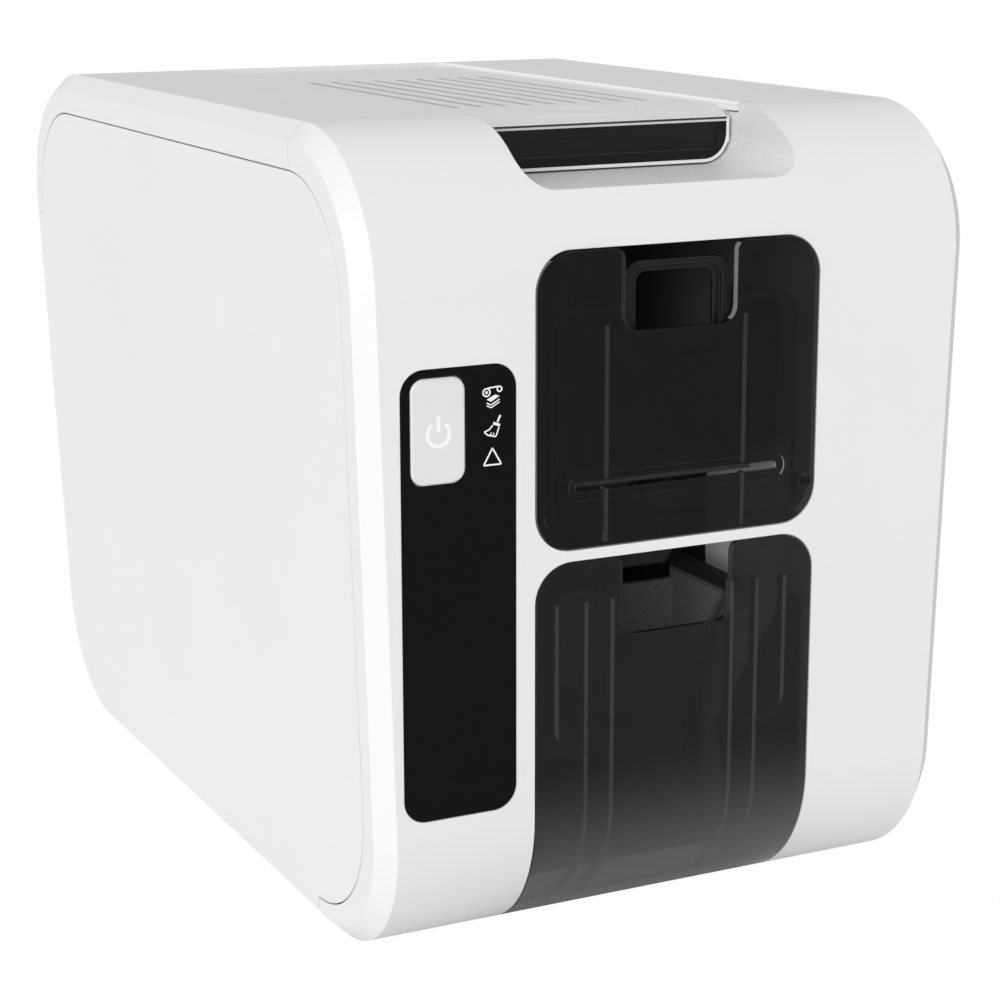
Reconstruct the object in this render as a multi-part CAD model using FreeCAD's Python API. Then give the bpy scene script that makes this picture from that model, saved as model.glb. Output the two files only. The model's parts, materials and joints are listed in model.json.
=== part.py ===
import FreeCAD, Part
import math
import os
from FreeCAD import Vector

# Desktop card printer with a hinged top lid and two smoked front doors.
# Lengths are in millimetres. While a piece is drawn, x is measured to the right from the middle,
# y back from the front face and z up from the table. The end of the script moves every piece
# forward by half the depth, so the origin is the middle of the footprint at table height.

# Body
body_width = 200.0
body_depth = 307.0
body_height = 242.0
foot_height = 2.0
side_draft_angle = 1.65
wall = 2.5
edge_chamfer = 5.2
front_radius = 43.0
rear_top_radius = 49.0
rear_bottom_radius = 45.0
rear_lean = 6.0
overrun = 20.0
parallel_share = 0.9
near_half_share = 0.45
hidden_gap = 0.3
pin_clearance = 0.05

# Seams between the covers
seam_gap = 0.45
front_seam_top = 45.0
front_seam_bottom = 50.0
rear_seam_drop = 56.0
side_margin_front = 12.0
side_margin_top = 13.3
side_margin_bottom = 9.6
side_front_top_radius = 33.0
side_front_bottom_radius = 38.0
side_rear_radius = 39.0
side_rear_margin = 11.0
side_rear_slope_share = 0.17
side_return = 9.0

# Identity card, the thing that passes through
card_length = 85.6
card_width = 54.0
card_thickness = 0.76
card_side_play = 1.5
card_end_play = 1.4
path_drop = 101.4

# Front doors
door_half = 45.7
door_wall = 2.2
door_gap = 0.45
window_depth = 7.0
notch_half = 18.2
notch_radius = 5.0
notch_depth = 23.5
notch_flare = 3.0
upper_door_sill = 17.0
upper_door_drop = 34.3
upper_door_radius = 11.0
upper_door_rim_height = 3.4
upper_door_rim_depth = 1.2
upper_pin_radius = 1.2
upper_ear_width = 3.0
upper_ear_inset = 1.0
upper_ear_radius = 2.8
feed_slot_half = 33.0
feed_slot_height = 2.6
feed_slot_rim = 2.4
feed_slot_rim_depth = 0.8
door_rib_x = 22.5
door_rib_width = 1.4
door_rib_drop = 21.5
door_rib_back = 4.2
gate_front = 3.0
gate_thickness = 2.5
gate_half = 34.0
gate_rise = 5.4
gate_drop = 13.7
gate_corner = 6.0
arch_half = 17.0
arch_height = 9.3
arch_radius = 5.5
arch_rim = 4.4
arch_opening_drop = 18.0
arch_opening_share = 0.7
arch_opening_corner_share = 0.6
arch_step_share = 0.35
arch_step_corner_share = 0.8
door_spacing = 4.0
lower_door_radius = 11.0
lower_door_end = 35.0
cheek_width = 1.7
cheek_drop = 21.6
cheek_reach = 10.0
cheek_hub_radius = 6.0
lower_pin_radius = 2.5
pin_head_rise = 1.5
pin_head_width = 1.2
lower_rib_depth = 3.0
lower_rib_places = (20.0, 28.5, 38.0)
lower_rib_drop = 12.6
lower_rib_ends = (10.0, 10.0, 62.0)

# Bay walls behind the two doors, part of the front cover
bay_wall = 1.8
bay_wall_back = 62.0
bay_wall_bottom = 14.0
bay_wall_rise = 4.3
shaft_slot_play = 1.0

# Control panel
panel_left = -86.8
panel_right = -52.0
panel_bottom = 50.0
panel_drop = 63.4
panel_radius = 7.0
panel_thickness = 1.2
panel_sink = 0.3
panel_fit = 0.15
button_left = -83.7
button_drop = 32.0
button_width = 16.3
button_height = 29.5
button_radius = 4.0
button_gap = 0.3
button_edge = 0.5
button_depth = 3.6
button_lip = 1.2
button_flange = 1.2
button_travel = 0.8
button_stem_radius = 2.5
switch_size = 6.0
switch_height = 2.0
board_thickness = 1.6
control_board_front = 11.0
control_boss_x = -61.0
control_board_gap = 1.5
control_board_drop = 24.6
icon_x = -59.2
icon_drops = (9.1, 17.4, 25.9)
light_guide_radius = 1.6
led_height = 1.4
boss_radius = 3.0

# Handle scoop in the front cover
scoop_half = 45.0
scoop_drop = 18.2
scoop_wall = 2.0
scoop_radius = 9.5
scoop_back = 52.0

# Lid
lid_half = 43.5
lid_gap = 0.6
lid_sink = 1.1
lid_wall = 2.2
lid_front = 47.5
lid_corner_radius = 8.5
lid_skirt_drop = 12.0
lid_bevel = 2.3
lid_nose_start = 58.0
lid_nose_drop = 4.3
hinge_inset = 60.0
hinge_drop = 14.0
hinge_pin_radius = 3.0
hinge_boss_radius = 7.0
hinge_boss_width = 5.5
hinge_head_radius = 5.0
hinge_head_width = 1.5
hinge_barrel_end_angle = -25.0
top_flange_width = 2.0
top_flange_drop = 10.0
louvre_count = 9
louvre_pitch = 8.0
louvre_width = 3.0
louvre_depth = 0.9
louvre_start = 78.0
louvre_hinge_gap = 51.0
dish_radius = 150.0
dish_depth = 0.6
dish_y = 57.0
dish_x = -5.0
grip_inset = 1.0
grip_thickness = 1.6
grip_finger_depth = 0.7
grip_finger_inset = 3.0
grip_finger_radius = 2.5

# Chassis
plate_inner = 50.0
plate_thickness = 2.0
plate_inset = 3.2
plate_front_drop = 28.0
plate_low_drop = 58.0
plate_low_start = 110.0
plate_low_inset = 71.0
plate_rear_drop = 6.0
plate_back_inset = 25.0
flange_width = 12.0
flange_thickness = 2.0
flange_start = 66.0
flange_end_inset = 57.0
window_radius = 6.0
window_margin = 18.0
window_low_share = 0.16
window_high_share = 0.53
bar_radius = 4.0
bar_end_radius = 2.5
bar_middle_y = 150.0
bar_middle_drop = 30.6
bar_rear_inset = 71.0
bar_rear_drop = 12.6
bar_low_y = 92.0
bar_low_height = 34.0
bar_front_y = 58.0
bar_front_drop = 25.5

# Rollers below and above the card path
roller_radius = 8.0
shaft_radius = 3.0
feed_y = 56.0
feed_tyre_half = 12.0
entry_y = 126.0
platen_y = 172.0
exit_y = 205.0
roller_half = 27.0
bush_radius = 5.0
bush_flange_radius = 6.5
bush_flange = 1.0
cleaning_radius = 8.0
pinch_radius = 5.0
upper_shaft_radius = 2.5
nip_gap = 1.0
shaft_groove_gap = 0.3

# Card hopper and its weight
hopper_wall = 2.0
hopper_front = 11.0
hopper_rise = 3.3
hopper_floor_drop = 0.2
hopper_slot = 1.4
hopper_tab_start = 66.0
hopper_tab_rise = 9.4
hopper_tab_drop = 11.0
roller_window_play = 1.5
weight_gap = 0.3
weight_thickness = 5.0
weight_side_play = 1.5
weight_knob_radius = 7.0
weight_knob_height = 9.0
weight_knob_edge = 1.2
hopper_notch_half = 12.0
hopper_notch_drop = 40.0

# Card guide behind the hopper
guide_start = 121.5
guide_end_inset = 31.0
guide_thickness = 1.2
guide_lip_height = 2.2
guide_lip_width = 1.2
guide_tab_front = 150.0
guide_tab_inset = 71.0
guide_tab_length = 10.0

# Diverter flap and chute
flap_y = 103.5
flap_drop = 4.2
flap_shaft_radius = 1.5
flap_hub_radius = 2.5
flap_tip = 117.5
flap_tip_thickness = 0.8
flap_half = 26.0
chute_wall = 1.5
chute_top_y = 98.5
chute_top_drop = 10.6
chute_bottom_y = 58.5
chute_fall = 32.0
chute_lip = 6.0
chute_tab_y = 66.5

# Output bin behind the lower door
bin_half = 30.0
bin_wall = 2.0
bin_back = 54.0
bin_floor_back = 12.5
bin_floor_front_y = 30.0
bin_floor_front = 16.5
bin_back_drop = 7.5
bin_side_drop = 18.1
bin_side_front_top = 22.0
bin_side_waist_y = 33.0
bin_waist_drop = 16.0
bin_side_low_y = 50.0
bin_side_low = 38.0
bin_rail_height = 3.6
bin_rail_width = 2.0
bin_rail_back = 62.0
bin_tab_drop = 31.5
bin_foot_front = 64.9
bin_foot_back = 68.0
bin_foot_width = 6.0

# Gear train on the right chassis plate
gear_module = 1.0
gear_width = 5.0
gear_gap = 1.2
roller_gear_teeth = 20
pinion_teeth = 12
tooth_thickness_share = 0.42
addendum_share = 0.8
dedendum_share = 1.2
pressure_angle = 20.0
motor_angle = -60.0
motor_radius = 17.5
motor_length = 16.0
motor_shaft_radius = 2.0
motor_boss_radius = 6.0
motor_ear_radius = 3.5
motor_ear_reach = 21.0
idler_post_radius = 3.0
gear_web_thickness = 2.0
post_head = 1.2
post_head_radius = 4.5

# Ribbon spools and film
spool_half = 31.0
spool_core_radius = 6.0
spool_flange_radius = 15.0
spool_flange = 1.5
spool_journal_radius = 5.0
take_up_y = 121.0
take_up_rise = 35.4
take_up_film_radius = 8.0
supply_y = 215.0
supply_rise = 30.9
supply_film_radius = 13.0
film_half = 28.0
film_thickness = 0.2
take_up_gear_teeth = 24
ribbon_pinion_teeth = 10
ribbon_motor_radius = 10.5
ribbon_motor_length = 15.0
ribbon_motor_ear_reach = 13.5
ribbon_motor_angle = 180.0
ribbon_guide_radius = 1.5
ribbon_guide_reach = 11.5
ribbon_guide_rise = 6.4
ribbon_turn_shift = 1.2
ribbon_turn_drop = 1.9
film_run_height = 1.2

# Print head under the lid
head_half = 31.0
head_bottom_gap = 0.35
head_edge = 2.0
head_depth = 8.0
head_height = 7.5
sink_depth = 16.0
sink_half = 33.0
sink_base = 5.0
sink_height = 20.0
fin_count = 9
fin_thickness = 1.4
arm_thickness = 1.5
arm_bottom_front = 158.0
arm_bottom_back = 186.0
arm_rise = 3.9
arm_top_front = 160.0
arm_top_share = 0.4267
head_plate_thickness = 2.0
arm_window_margin = 10.0

# Electronics
main_board_x = -62.4
main_board_start = 84.0
main_board_inset = 23.0
main_board_bottom = 22.0
main_board_top = 122.0
standoff_radius = 3.0
standoff_inset = 8.0
chip_size = 18.0
chip_height = 2.2
chip_places = ((110.0, 60.0), (150.0, 92.0), (205.0, 70.0), (150.0, 45.0))
capacitor_radius = 6.0
capacitor_height = 14.0
capacitor_insets = (29.0, 46.0)
capacitor_level = 100.0
port_size = 12.0
port_length = 20.0
port_wall = 0.8
port_tongue = 5.6
port_tongue_height = 3.2
usb_height = 66.0
power_inlet_height = 36.0
power_inlet_bore = 3.1
power_pin_radius = 1.0
port_cutout_gap = 0.5
port_recess = 0.6

# Fan behind the rear vents
fan_size = 40.0
fan_depth = 10.0
fan_height = 100.0
fan_bore_radius = 18.6
fan_hub_radius = 8.0
fan_blade_gap = 0.6
fan_blades = 7
fan_blade_thickness = 1.2
fan_blade_twist = 35.0
fan_blade_room_share = 0.42
fan_spokes = 3
fan_corner_radius = 3.0
fan_screw_inset = 4.0
fan_screw_radius = 1.7
fan_inset = 10.0
vent_slots = 9
vent_pitch = 5.0
vent_width = 2.2

# Base, feet and screws
base_rib_height = 5.0
base_rib_width = 2.0
foot_radius = 8.0
foot_stud_radius = 2.5
foot_x = 68.0
foot_front = 70.0
foot_rear_inset = 71.0
foot_taper = 1.0
foot_stud_rise = 2.5
foot_stud_head = 1.0
lower_door_notch_back = 64.0
screw_head_radius = 3.0
screw_head_height = 1.6
screw_radius = 1.3
screw_length = 7.0
case_screw_x = 57.0
case_screw_front = 100.0
case_screw_inset = 107.0
cover_rib_height = 3.0
cover_rib_width = 1.8
cover_rib_places = (60.0, 110.0, 160.0)
cover_rib_start = 30.0
cover_rib_inset = 37.0

# Derived values
body_half = body_width / 2
draft_slope = math.tan(math.radians(side_draft_angle))
chamfer_shrink_share = 2 - math.sqrt(2)
path_height = body_height - path_drop
rear_seam_height = body_height - rear_seam_drop
upper_door_top = body_height - upper_door_drop
upper_door_bottom = path_height - upper_door_sill
lower_door_top = upper_door_bottom - door_spacing
gate_bottom = path_height + gate_rise
gate_top = upper_door_top - gate_drop
cheek_top = lower_door_top - cheek_drop
bay_wall_top = upper_door_top + bay_wall_rise
panel_top = body_height - panel_drop
button_bottom = panel_top - button_drop
control_board_bottom = button_bottom - control_board_drop
icon_heights = [panel_top - drop for drop in icon_drops]
scoop_floor = body_height - scoop_drop
lid_bottom = scoop_floor + lid_gap
lid_skirt_bottom = body_height - lid_skirt_drop
lid_nose_height = body_height - lid_nose_drop
lid_slot_back = body_depth - rear_top_radius
hinge_y = body_depth - hinge_inset
hinge_height = body_height - hinge_drop
top_flange_bottom = body_height - top_flange_drop
louvre_end = hinge_y - louvre_hinge_gap
grip_top = lid_nose_height - lid_gap
plate_front_top = body_height - plate_front_drop
plate_low_top = body_height - plate_low_drop
plate_low_end = body_depth - plate_low_inset
plate_rear_top = body_height - plate_rear_drop
plate_back = body_depth - plate_back_inset
flange_end = body_depth - flange_end_inset
bar_rear_y = body_depth - bar_rear_inset
bar_places = [
    (bar_middle_y, path_height - bar_middle_drop),
    (bar_rear_y, path_height - bar_rear_drop),
    (bar_rear_y, bar_low_height),
    (bar_low_y, bar_low_height),
    (bar_front_y, body_height - bar_front_drop),
]
hopper_top = upper_door_top + hopper_rise
hopper_tab_heights = (path_height + hopper_tab_rise, hopper_top - hopper_tab_drop)
guide_end = body_depth - guide_end_inset
guide_tab_places = (guide_tab_front, body_depth - guide_tab_inset)
flap_height = path_height - flap_drop
chute_top_height = path_height - chute_top_drop
chute_bottom_height = chute_top_height - chute_fall
bin_side_top = lower_door_top - bin_side_drop
bin_back_top = bin_side_top - bin_back_drop
bin_side_waist = bin_side_top - bin_waist_drop
bin_tab_height = bin_side_top - bin_tab_drop
take_up_height = path_height + take_up_rise
supply_height = path_height + supply_rise
ribbon_guide_height = path_height + ribbon_guide_rise
arm_bottom = path_height + arm_rise
arm_top_back = platen_y + (hinge_y - platen_y) * arm_top_share
main_board_end = body_depth - main_board_inset
capacitor_places = [(main_board_end - inset, capacitor_level) for inset in capacitor_insets]
fan_back = body_depth - fan_inset
foot_rear = body_depth - foot_rear_inset
case_screw_places = (case_screw_front, body_depth - case_screw_inset)
cover_rib_end = body_depth - cover_rib_inset
upper_pivot_y = upper_ear_radius
upper_pivot_height = upper_door_bottom + upper_door_radius
lower_pivot_y = front_radius
lower_pivot_height = foot_height + front_radius
bay_inner = door_half + door_gap * 2
bay_outer = bay_inner + bay_wall
feed_slot_middle = path_height + card_thickness / 2
roller_height = path_height - roller_radius
upper_nip = path_height + nip_gap
hopper_half = card_width / 2 + card_side_play
hopper_back = hopper_front + card_length + card_end_play
gear_inner = plate_inner + plate_thickness + gear_gap
gear_outer = gear_inner + gear_width
lid_top = body_height - lid_sink
lid_under = lid_top - lid_wall
hinge_barrel_radius = lid_top - hinge_height
button_right = button_left + button_width
button_top = button_bottom + button_height
panel_face = panel_sink + panel_thickness
floor_top = foot_height + wall


def half_width(z):
    return body_half - (body_height - z) * draft_slope


def box(x0, x1, y0, y1, z0, z1):
    return Part.makeBox(x1 - x0, y1 - y0, z1 - z0, Vector(x0, y0, z0))


def rod_x(x0, x1, y, z, radius):
    low = min(x0, x1)
    return Part.makeCylinder(radius, abs(x1 - x0), Vector(low, y, z), Vector(1, 0, 0))


def rod_y(y0, y1, x, z, radius):
    return Part.makeCylinder(radius, y1 - y0, Vector(x, y0, z), Vector(0, 1, 0))


def rod_z(z0, z1, x, y, radius):
    return Part.makeCylinder(radius, z1 - z0, Vector(x, y, z0), Vector(0, 0, 1))


def join(shapes):
    solid = shapes[0]
    if len(shapes) > 1:
        solid = solid.fuse(shapes[1:])
    return solid.removeSplitter()


def mirror_x(shape):
    return shape.mirror(Vector(0, 0, 0), Vector(1, 0, 0))


def prism_x(points, x0, x1):
    """Polygon of (y, z) points, extruded from x0 to x1."""
    corners = [Vector(x0, y, z) for y, z in points]
    face = Part.Face(Part.makePolygon(corners + corners[:1]))
    return face.extrude(Vector(x1 - x0, 0, 0))


def prism_y(points, y0, y1):
    """Polygon of (x, z) points, extruded from y0 to y1."""
    corners = [Vector(x, y0, z) for x, z in points]
    face = Part.Face(Part.makePolygon(corners + corners[:1]))
    return face.extrude(Vector(0, y1 - y0, 0))


def rounded_block_y(x0, x1, z0, z1, radius, y0, y1):
    """Block with its four edges along y rounded."""
    block = box(x0, x1, y0, y1, z0, z1)
    edges = [e for e in block.Edges if abs(e.tangentAt(e.FirstParameter).y) > parallel_share]
    return block.makeFillet(radius, edges)


def tangent_outline(circles):
    """Closed wire in the yz plane: arcs on the circles, joined by their outer tangents."""
    count = len(circles)
    normals = []
    for index in range(count):
        y1, z1, r1 = circles[index]
        y2, z2, r2 = circles[(index + 1) % count]
        distance = math.hypot(y2 - y1, z2 - z1)
        along = Vector(0, (y2 - y1) / distance, (z2 - z1) / distance)
        left = Vector(0, -along.z, along.y)
        tilt = (r1 - r2) / distance
        normals.append(along * tilt + left * math.sqrt(1 - tilt * tilt))
    edges = []
    for index in range(count):
        y1, z1, r1 = circles[index]
        y2, z2, r2 = circles[(index + 1) % count]
        before = normals[index - 1]
        after = normals[index]
        middle = (before + after).normalize()
        centre = Vector(0, y1, z1)
        arc = Part.Arc(centre + before * r1, centre + middle * r1, centre + after * r1)
        edges.append(arc.toShape())
        line = Part.LineSegment(centre + after * r1, Vector(0, y2, z2) + after * r2)
        edges.append(line.toShape())
    return Part.Wire(edges)


def body_circles(inset):
    """The four corner circles of the side profile, drawn in by the inset."""
    rear = body_depth - rear_top_radius
    return [
        (front_radius, foot_height + front_radius, front_radius - inset),
        (front_radius, body_height - front_radius, front_radius - inset),
        (rear, body_height - rear_top_radius, rear_top_radius - inset),
        (body_depth - rear_lean - rear_bottom_radius, foot_height + rear_bottom_radius,
         rear_bottom_radius - inset),
    ]


def profile_prism(inset, x0, x1):
    """The side profile, drawn in by the inset and extruded from x0 to x1."""
    face = Part.Face(tangent_outline(body_circles(inset)))
    face.translate(Vector(x0, 0, 0))
    return face.extrude(Vector(x1 - x0, 0, 0))


def body_solid(inset):
    """The closed body with drafted sides and chamfered side edges, drawn in by the inset."""
    block = profile_prism(inset, -body_half, body_half)
    low = foot_height - overrun
    high = body_height + overrun
    draft = prism_y([
        (-half_width(low) + inset, low),
        (half_width(low) - inset, low),
        (half_width(high) - inset, high),
        (-half_width(high) + inset, high),
    ], -overrun, body_depth + overrun)
    block = block.common(draft)
    side_faces = [f for f in block.Faces if abs(f.normalAt(0, 0).x) > parallel_share]
    edges = []
    for face in side_faces:
        edges.extend(face.Edges)
    return block.makeChamfer(edge_chamfer - inset * chamfer_shrink_share, edges)


def side_zone(grow, x0, x1):
    """The part of the side profile that a side cover fills, grown by the seam."""
    front = side_margin_front - grow
    top = body_height - side_margin_top + grow
    bottom = foot_height + side_margin_bottom - grow
    lower_radius = side_front_bottom_radius + grow
    upper_radius = side_front_top_radius + grow
    rear_radius = side_rear_radius + grow
    rear_y = body_depth - side_rear_margin - side_rear_radius
    low = foot_height - overrun
    lower = Vector(0, front + lower_radius, bottom + lower_radius)
    upper = Vector(0, front + upper_radius, top - upper_radius)
    rear = Vector(0, rear_y, top - rear_radius)
    slant = math.sqrt(0.5)
    start_y = front_seam_bottom - grow
    start_z = lower.z - math.sqrt(lower_radius ** 2 - (start_y - lower.y) ** 2)
    outside = body_depth + overrun
    rear_corner_z = rear.z - (outside - rear.y - rear_radius) * side_rear_slope_share
    points = [Vector(0, start_y, low), Vector(0, start_y, start_z)]
    lower_end = lower + Vector(0, -lower_radius, 0)
    upper_start = upper + Vector(0, -upper_radius, 0)
    upper_end = upper + Vector(0, 0, upper_radius)
    rear_start = rear + Vector(0, 0, rear_radius)
    rear_end = rear + Vector(0, rear_radius, 0)
    edges = [Part.LineSegment(points[0], points[1]).toShape()]
    lower_middle = lower + Vector(0, -slant, -slant) * lower_radius
    upper_middle = upper + Vector(0, -slant, slant) * upper_radius
    rear_middle = rear + Vector(0, slant, slant) * rear_radius
    edges.append(Part.Arc(points[1], lower_middle, lower_end).toShape())
    edges.append(Part.LineSegment(lower_end, upper_start).toShape())
    edges.append(Part.Arc(upper_start, upper_middle, upper_end).toShape())
    edges.append(Part.LineSegment(upper_end, rear_start).toShape())
    edges.append(Part.Arc(rear_start, rear_middle, rear_end).toShape())
    edges.append(Part.LineSegment(rear_end, Vector(0, outside, rear_corner_z)).toShape())
    edges.append(Part.LineSegment(Vector(0, outside, rear_corner_z), Vector(0, outside, low)).toShape())
    edges.append(Part.LineSegment(Vector(0, outside, low), points[0]).toShape())
    face = Part.Face(Part.Wire(edges))
    face.translate(Vector(x0, 0, 0))
    return face.extrude(Vector(x1 - x0, 0, 0))


# Covers
shell = body_solid(0.0).cut(body_solid(wall))
left_end = -body_half - overrun
left_return = -half_width(foot_height) + side_return
left_zone_wide = side_zone(seam_gap / 2, left_end, left_return + seam_gap / 2)
left_zone_tight = side_zone(-seam_gap / 2, left_end, left_return - seam_gap / 2)
middle_shell = shell.cut([left_zone_wide, mirror_x(left_zone_wide)])


def left_side_cover():
    cover = shell.common(left_zone_tight)
    reach = half_width(cover_rib_places[0]) - wall - cover_rib_height
    pieces = [cover]
    for height in cover_rib_places:
        rib = box(-body_half, -reach, cover_rib_start, cover_rib_end,
                  height, height + cover_rib_width)
        pieces.append(rib.common(body_solid(wall / 2)))
    return join(pieces)


def window_cut(half, bottom, top, radius, back):
    return rounded_block_y(-half, half, bottom, top, radius, -overrun, back)


def bay_walls():
    """Two upright walls behind the front cover that carry the door pins."""
    wall_plate = box(bay_inner, bay_outer, wall / 2, bay_wall_back, bay_wall_bottom, bay_wall_top)
    wall_plate = wall_plate.common(profile_prism(wall / 2, bay_inner, bay_outer))
    bore = rod_x(bay_inner - overrun, bay_outer + overrun, lower_pivot_y, lower_pivot_height,
                 lower_pin_radius + pin_clearance)
    slot = shaft_radius + shaft_slot_play
    shaft_room = box(bay_inner, bay_outer, feed_y - slot, bay_wall_back + overrun,
                     roller_height - slot, roller_height + slot)
    wall_plate = wall_plate.cut([bore, shaft_room])
    return [wall_plate, mirror_x(wall_plate)]


def scoop_volume(grow, y0, y1):
    """The finger scoop's hollow, grown by a wall, from y0 to y1."""
    return rounded_block_y(-scoop_half - grow, scoop_half + grow, scoop_floor - grow,
                           body_height + overrun, scoop_radius + grow, y0, y1)


def scoop_trough():
    outer = scoop_volume(scoop_wall, wall / 2, scoop_back)
    low_part = box(-body_half, body_half, front_seam_top, scoop_back,
                   scoop_floor - overrun, body_height - wall - seam_gap)
    front_part = box(-body_half, body_half, 0, front_seam_top, 0, body_height)
    outer = outer.common(join([low_part, front_part]))
    outer = outer.common(profile_prism(wall / 2, -body_half, body_half))
    return outer.cut(scoop_volume(0.0, -overrun, scoop_back + overrun))


def boss_y(x, z, y1):
    return rod_y(wall / 2, y1, x, z, boss_radius)


def control_bosses():
    x_left = panel_left + boss_radius
    x_right = panel_right - boss_radius - control_board_gap
    height_low = control_board_bottom + boss_radius
    height_high = panel_top - boss_radius
    places = [(x_left, height_low), (x_right, height_low), (control_boss_x, height_high)]
    return [boss_y(x, z, control_board_front) for x, z in places]


def front_cover():
    top_zone = box(-body_half, body_half, -overrun, front_seam_top,
                   body_height / 2, body_height + overrun)
    bottom_zone = box(-body_half, body_half, -overrun, front_seam_bottom, 0, body_height / 2)
    cover = middle_shell.common(join([top_zone, bottom_zone]))
    cover = cover.cut(scoop_volume(0.0, -overrun, scoop_back))
    window_half = door_half + door_gap
    cuts = [
        window_cut(window_half, upper_door_bottom - door_gap, upper_door_top + door_gap,
                   upper_door_radius + door_gap, window_depth),
        window_cut(window_half, -overrun, lower_door_top + door_gap,
                   lower_door_radius + door_gap, lower_door_notch_back),
        rounded_block_y(panel_left - panel_fit, panel_right + panel_fit,
                        panel_bottom - panel_fit, panel_top + panel_fit,
                        panel_radius, -overrun, panel_face),
        rounded_block_y(button_left - button_gap, button_right + button_gap,
                        button_bottom - button_gap, button_top + button_gap,
                        button_radius, -overrun, wall + overrun),
        rod_x(-bay_outer - hidden_gap, bay_outer + hidden_gap, upper_pivot_y, upper_pivot_height,
              upper_pin_radius + pin_clearance),
    ]
    for height in icon_heights:
        cuts.append(rod_y(-overrun, wall + overrun, icon_x, height,
                          light_guide_radius + pin_clearance))
    pieces = [cover, scoop_trough()] + bay_walls() + control_bosses()
    cover = join(pieces)
    return cover.cut(cuts)


def lid_slot():
    """The opening in the top cover for the lid, with its rounded rear end."""
    half = lid_half + lid_gap
    radius = hinge_barrel_radius + lid_gap
    flat = box(-half, half, -overrun, hinge_y, hinge_height, body_height + overrun)
    back = box(-half, half, hinge_y - overrun, lid_slot_back, hinge_height, body_height + overrun)
    return join([flat, back, rod_x(-half, half, hinge_y, hinge_height, radius)])


def top_cover():
    zone = box(-body_half, body_half, front_seam_top + seam_gap, body_depth + overrun,
               rear_seam_height + seam_gap, body_height + overrun)
    cover = middle_shell.common(zone)
    half = lid_half + lid_gap
    flange = box(half, half + top_flange_width, scoop_back + lid_gap, hinge_y,
                 top_flange_bottom, body_height - wall / 2)
    bevel = prism_y([(half - overrun, lid_top), (half, lid_top), (half + lid_bevel, body_height),
                     (half + lid_bevel, body_height + overrun),
                     (half - overrun, body_height + overrun)], -overrun, lid_slot_back)
    cover = join([cover, flange, mirror_x(flange)])
    return cover.cut([lid_slot(), bevel, mirror_x(bevel)])


def vent_slot_row(depth_start, depth_end):
    """Vertical slots in the rear panel in front of the fan."""
    slots = []
    first = -vent_pitch * (vent_slots - 1) / 2
    for index in range(vent_slots):
        x = first + vent_pitch * index
        chord = math.sqrt(fan_bore_radius ** 2 - x ** 2) if abs(x) < fan_bore_radius else 0
        if chord > vent_width:
            slots.append(rounded_block_y(x - vent_width / 2, x + vent_width / 2,
                                         fan_height - chord, fan_height + chord,
                                         vent_width * near_half_share, depth_start, depth_end))
    return slots


def port_x():
    return main_board_x - board_thickness / 2 - port_size / 2


def port_box(height, grow, y0, y1):
    half = port_size / 2 + grow
    return box(port_x() - half, port_x() + half, y0, y1, height - half, height + half)


def rear_panel():
    base_end = body_depth - rear_lean - rear_bottom_radius
    zone = box(-body_half, body_half, base_end + seam_gap, body_depth + overrun,
               0, rear_seam_height)
    panel = middle_shell.common(zone)
    cuts = vent_slot_row(fan_back, body_depth + overrun)
    for height in (usb_height, power_inlet_height):
        cuts.append(port_box(height, port_cutout_gap, base_end, body_depth + overrun))
    bosses = []
    for x, z in fan_screw_places():
        boss = rod_y(fan_back, body_depth, x, z, fan_corner_radius)
        bosses.append(boss.common(profile_prism(wall / 2, -body_half, body_half)))
    return join([panel.cut(cuts)] + bosses)


def base_pan():
    base_end = body_depth - rear_lean - rear_bottom_radius
    zone = box(-body_half, body_half, front_seam_bottom + seam_gap, base_end, 0, floor_top)
    pan = middle_shell.common(zone)
    notch = box(-bay_outer - door_gap, bay_outer + door_gap, 0, lower_door_notch_back, 0, floor_top)
    ribs = []
    rib_front = lower_door_notch_back + base_rib_width
    rib_back = base_end - base_rib_width
    for x in (-1, 1):
        edge = x * (plate_inner - base_rib_width * 2)
        ribs.append(box(min(edge, edge + x * base_rib_width), max(edge, edge + x * base_rib_width),
                        rib_front, rib_back, floor_top - wall / 2, floor_top + base_rib_height))
    for y in (foot_front + foot_radius * 2, foot_rear - foot_radius * 2):
        ribs.append(box(-plate_inner + base_rib_width * 2, plate_inner - base_rib_width * 2,
                        y, y + base_rib_width, floor_top - wall / 2, floor_top + base_rib_height))
    holes = []
    for x, y in foot_places():
        holes.append(rod_z(0, floor_top + overrun, x, y, foot_stud_radius + pin_clearance))
    for x, y in screw_points():
        holes.append(rod_z(0, floor_top + overrun, x, y, screw_radius + pin_clearance))
    return join([pan.cut(notch)] + ribs).cut(holes)


def screw_points():
    return [(x, y) for x in (-case_screw_x, case_screw_x) for y in case_screw_places]


def foot_places():
    return [(x, y) for x in (-foot_x, foot_x) for y in (foot_front, foot_rear)]


def rubber_feet():
    feet = []
    for x, y in foot_places():
        pad = Part.makeCone(foot_radius - foot_taper, foot_radius, foot_height, Vector(x, y, 0))
        stud = rod_z(foot_height / 2, floor_top + foot_stud_rise, x, y, foot_stud_radius)
        head = Part.makeCone(foot_stud_radius + foot_stud_head / 2, foot_stud_radius / 2,
                             foot_stud_rise - pin_clearance,
                             Vector(x, y, floor_top + pin_clearance))
        feet.append(join([pad, stud, head]))
    return Part.makeCompound(feet)


# Control panel
def control_label():
    plate = rounded_block_y(panel_left, panel_right, panel_bottom, panel_top, panel_radius,
                            panel_sink, panel_face)
    hole = rounded_block_y(button_left - button_gap, button_right + button_gap,
                           button_bottom - button_gap, button_top + button_gap,
                           button_radius, -overrun, overrun)
    return plate.cut(hole)


def button_centre():
    return (button_left + button_right) / 2, (button_bottom + button_top) / 2


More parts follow.
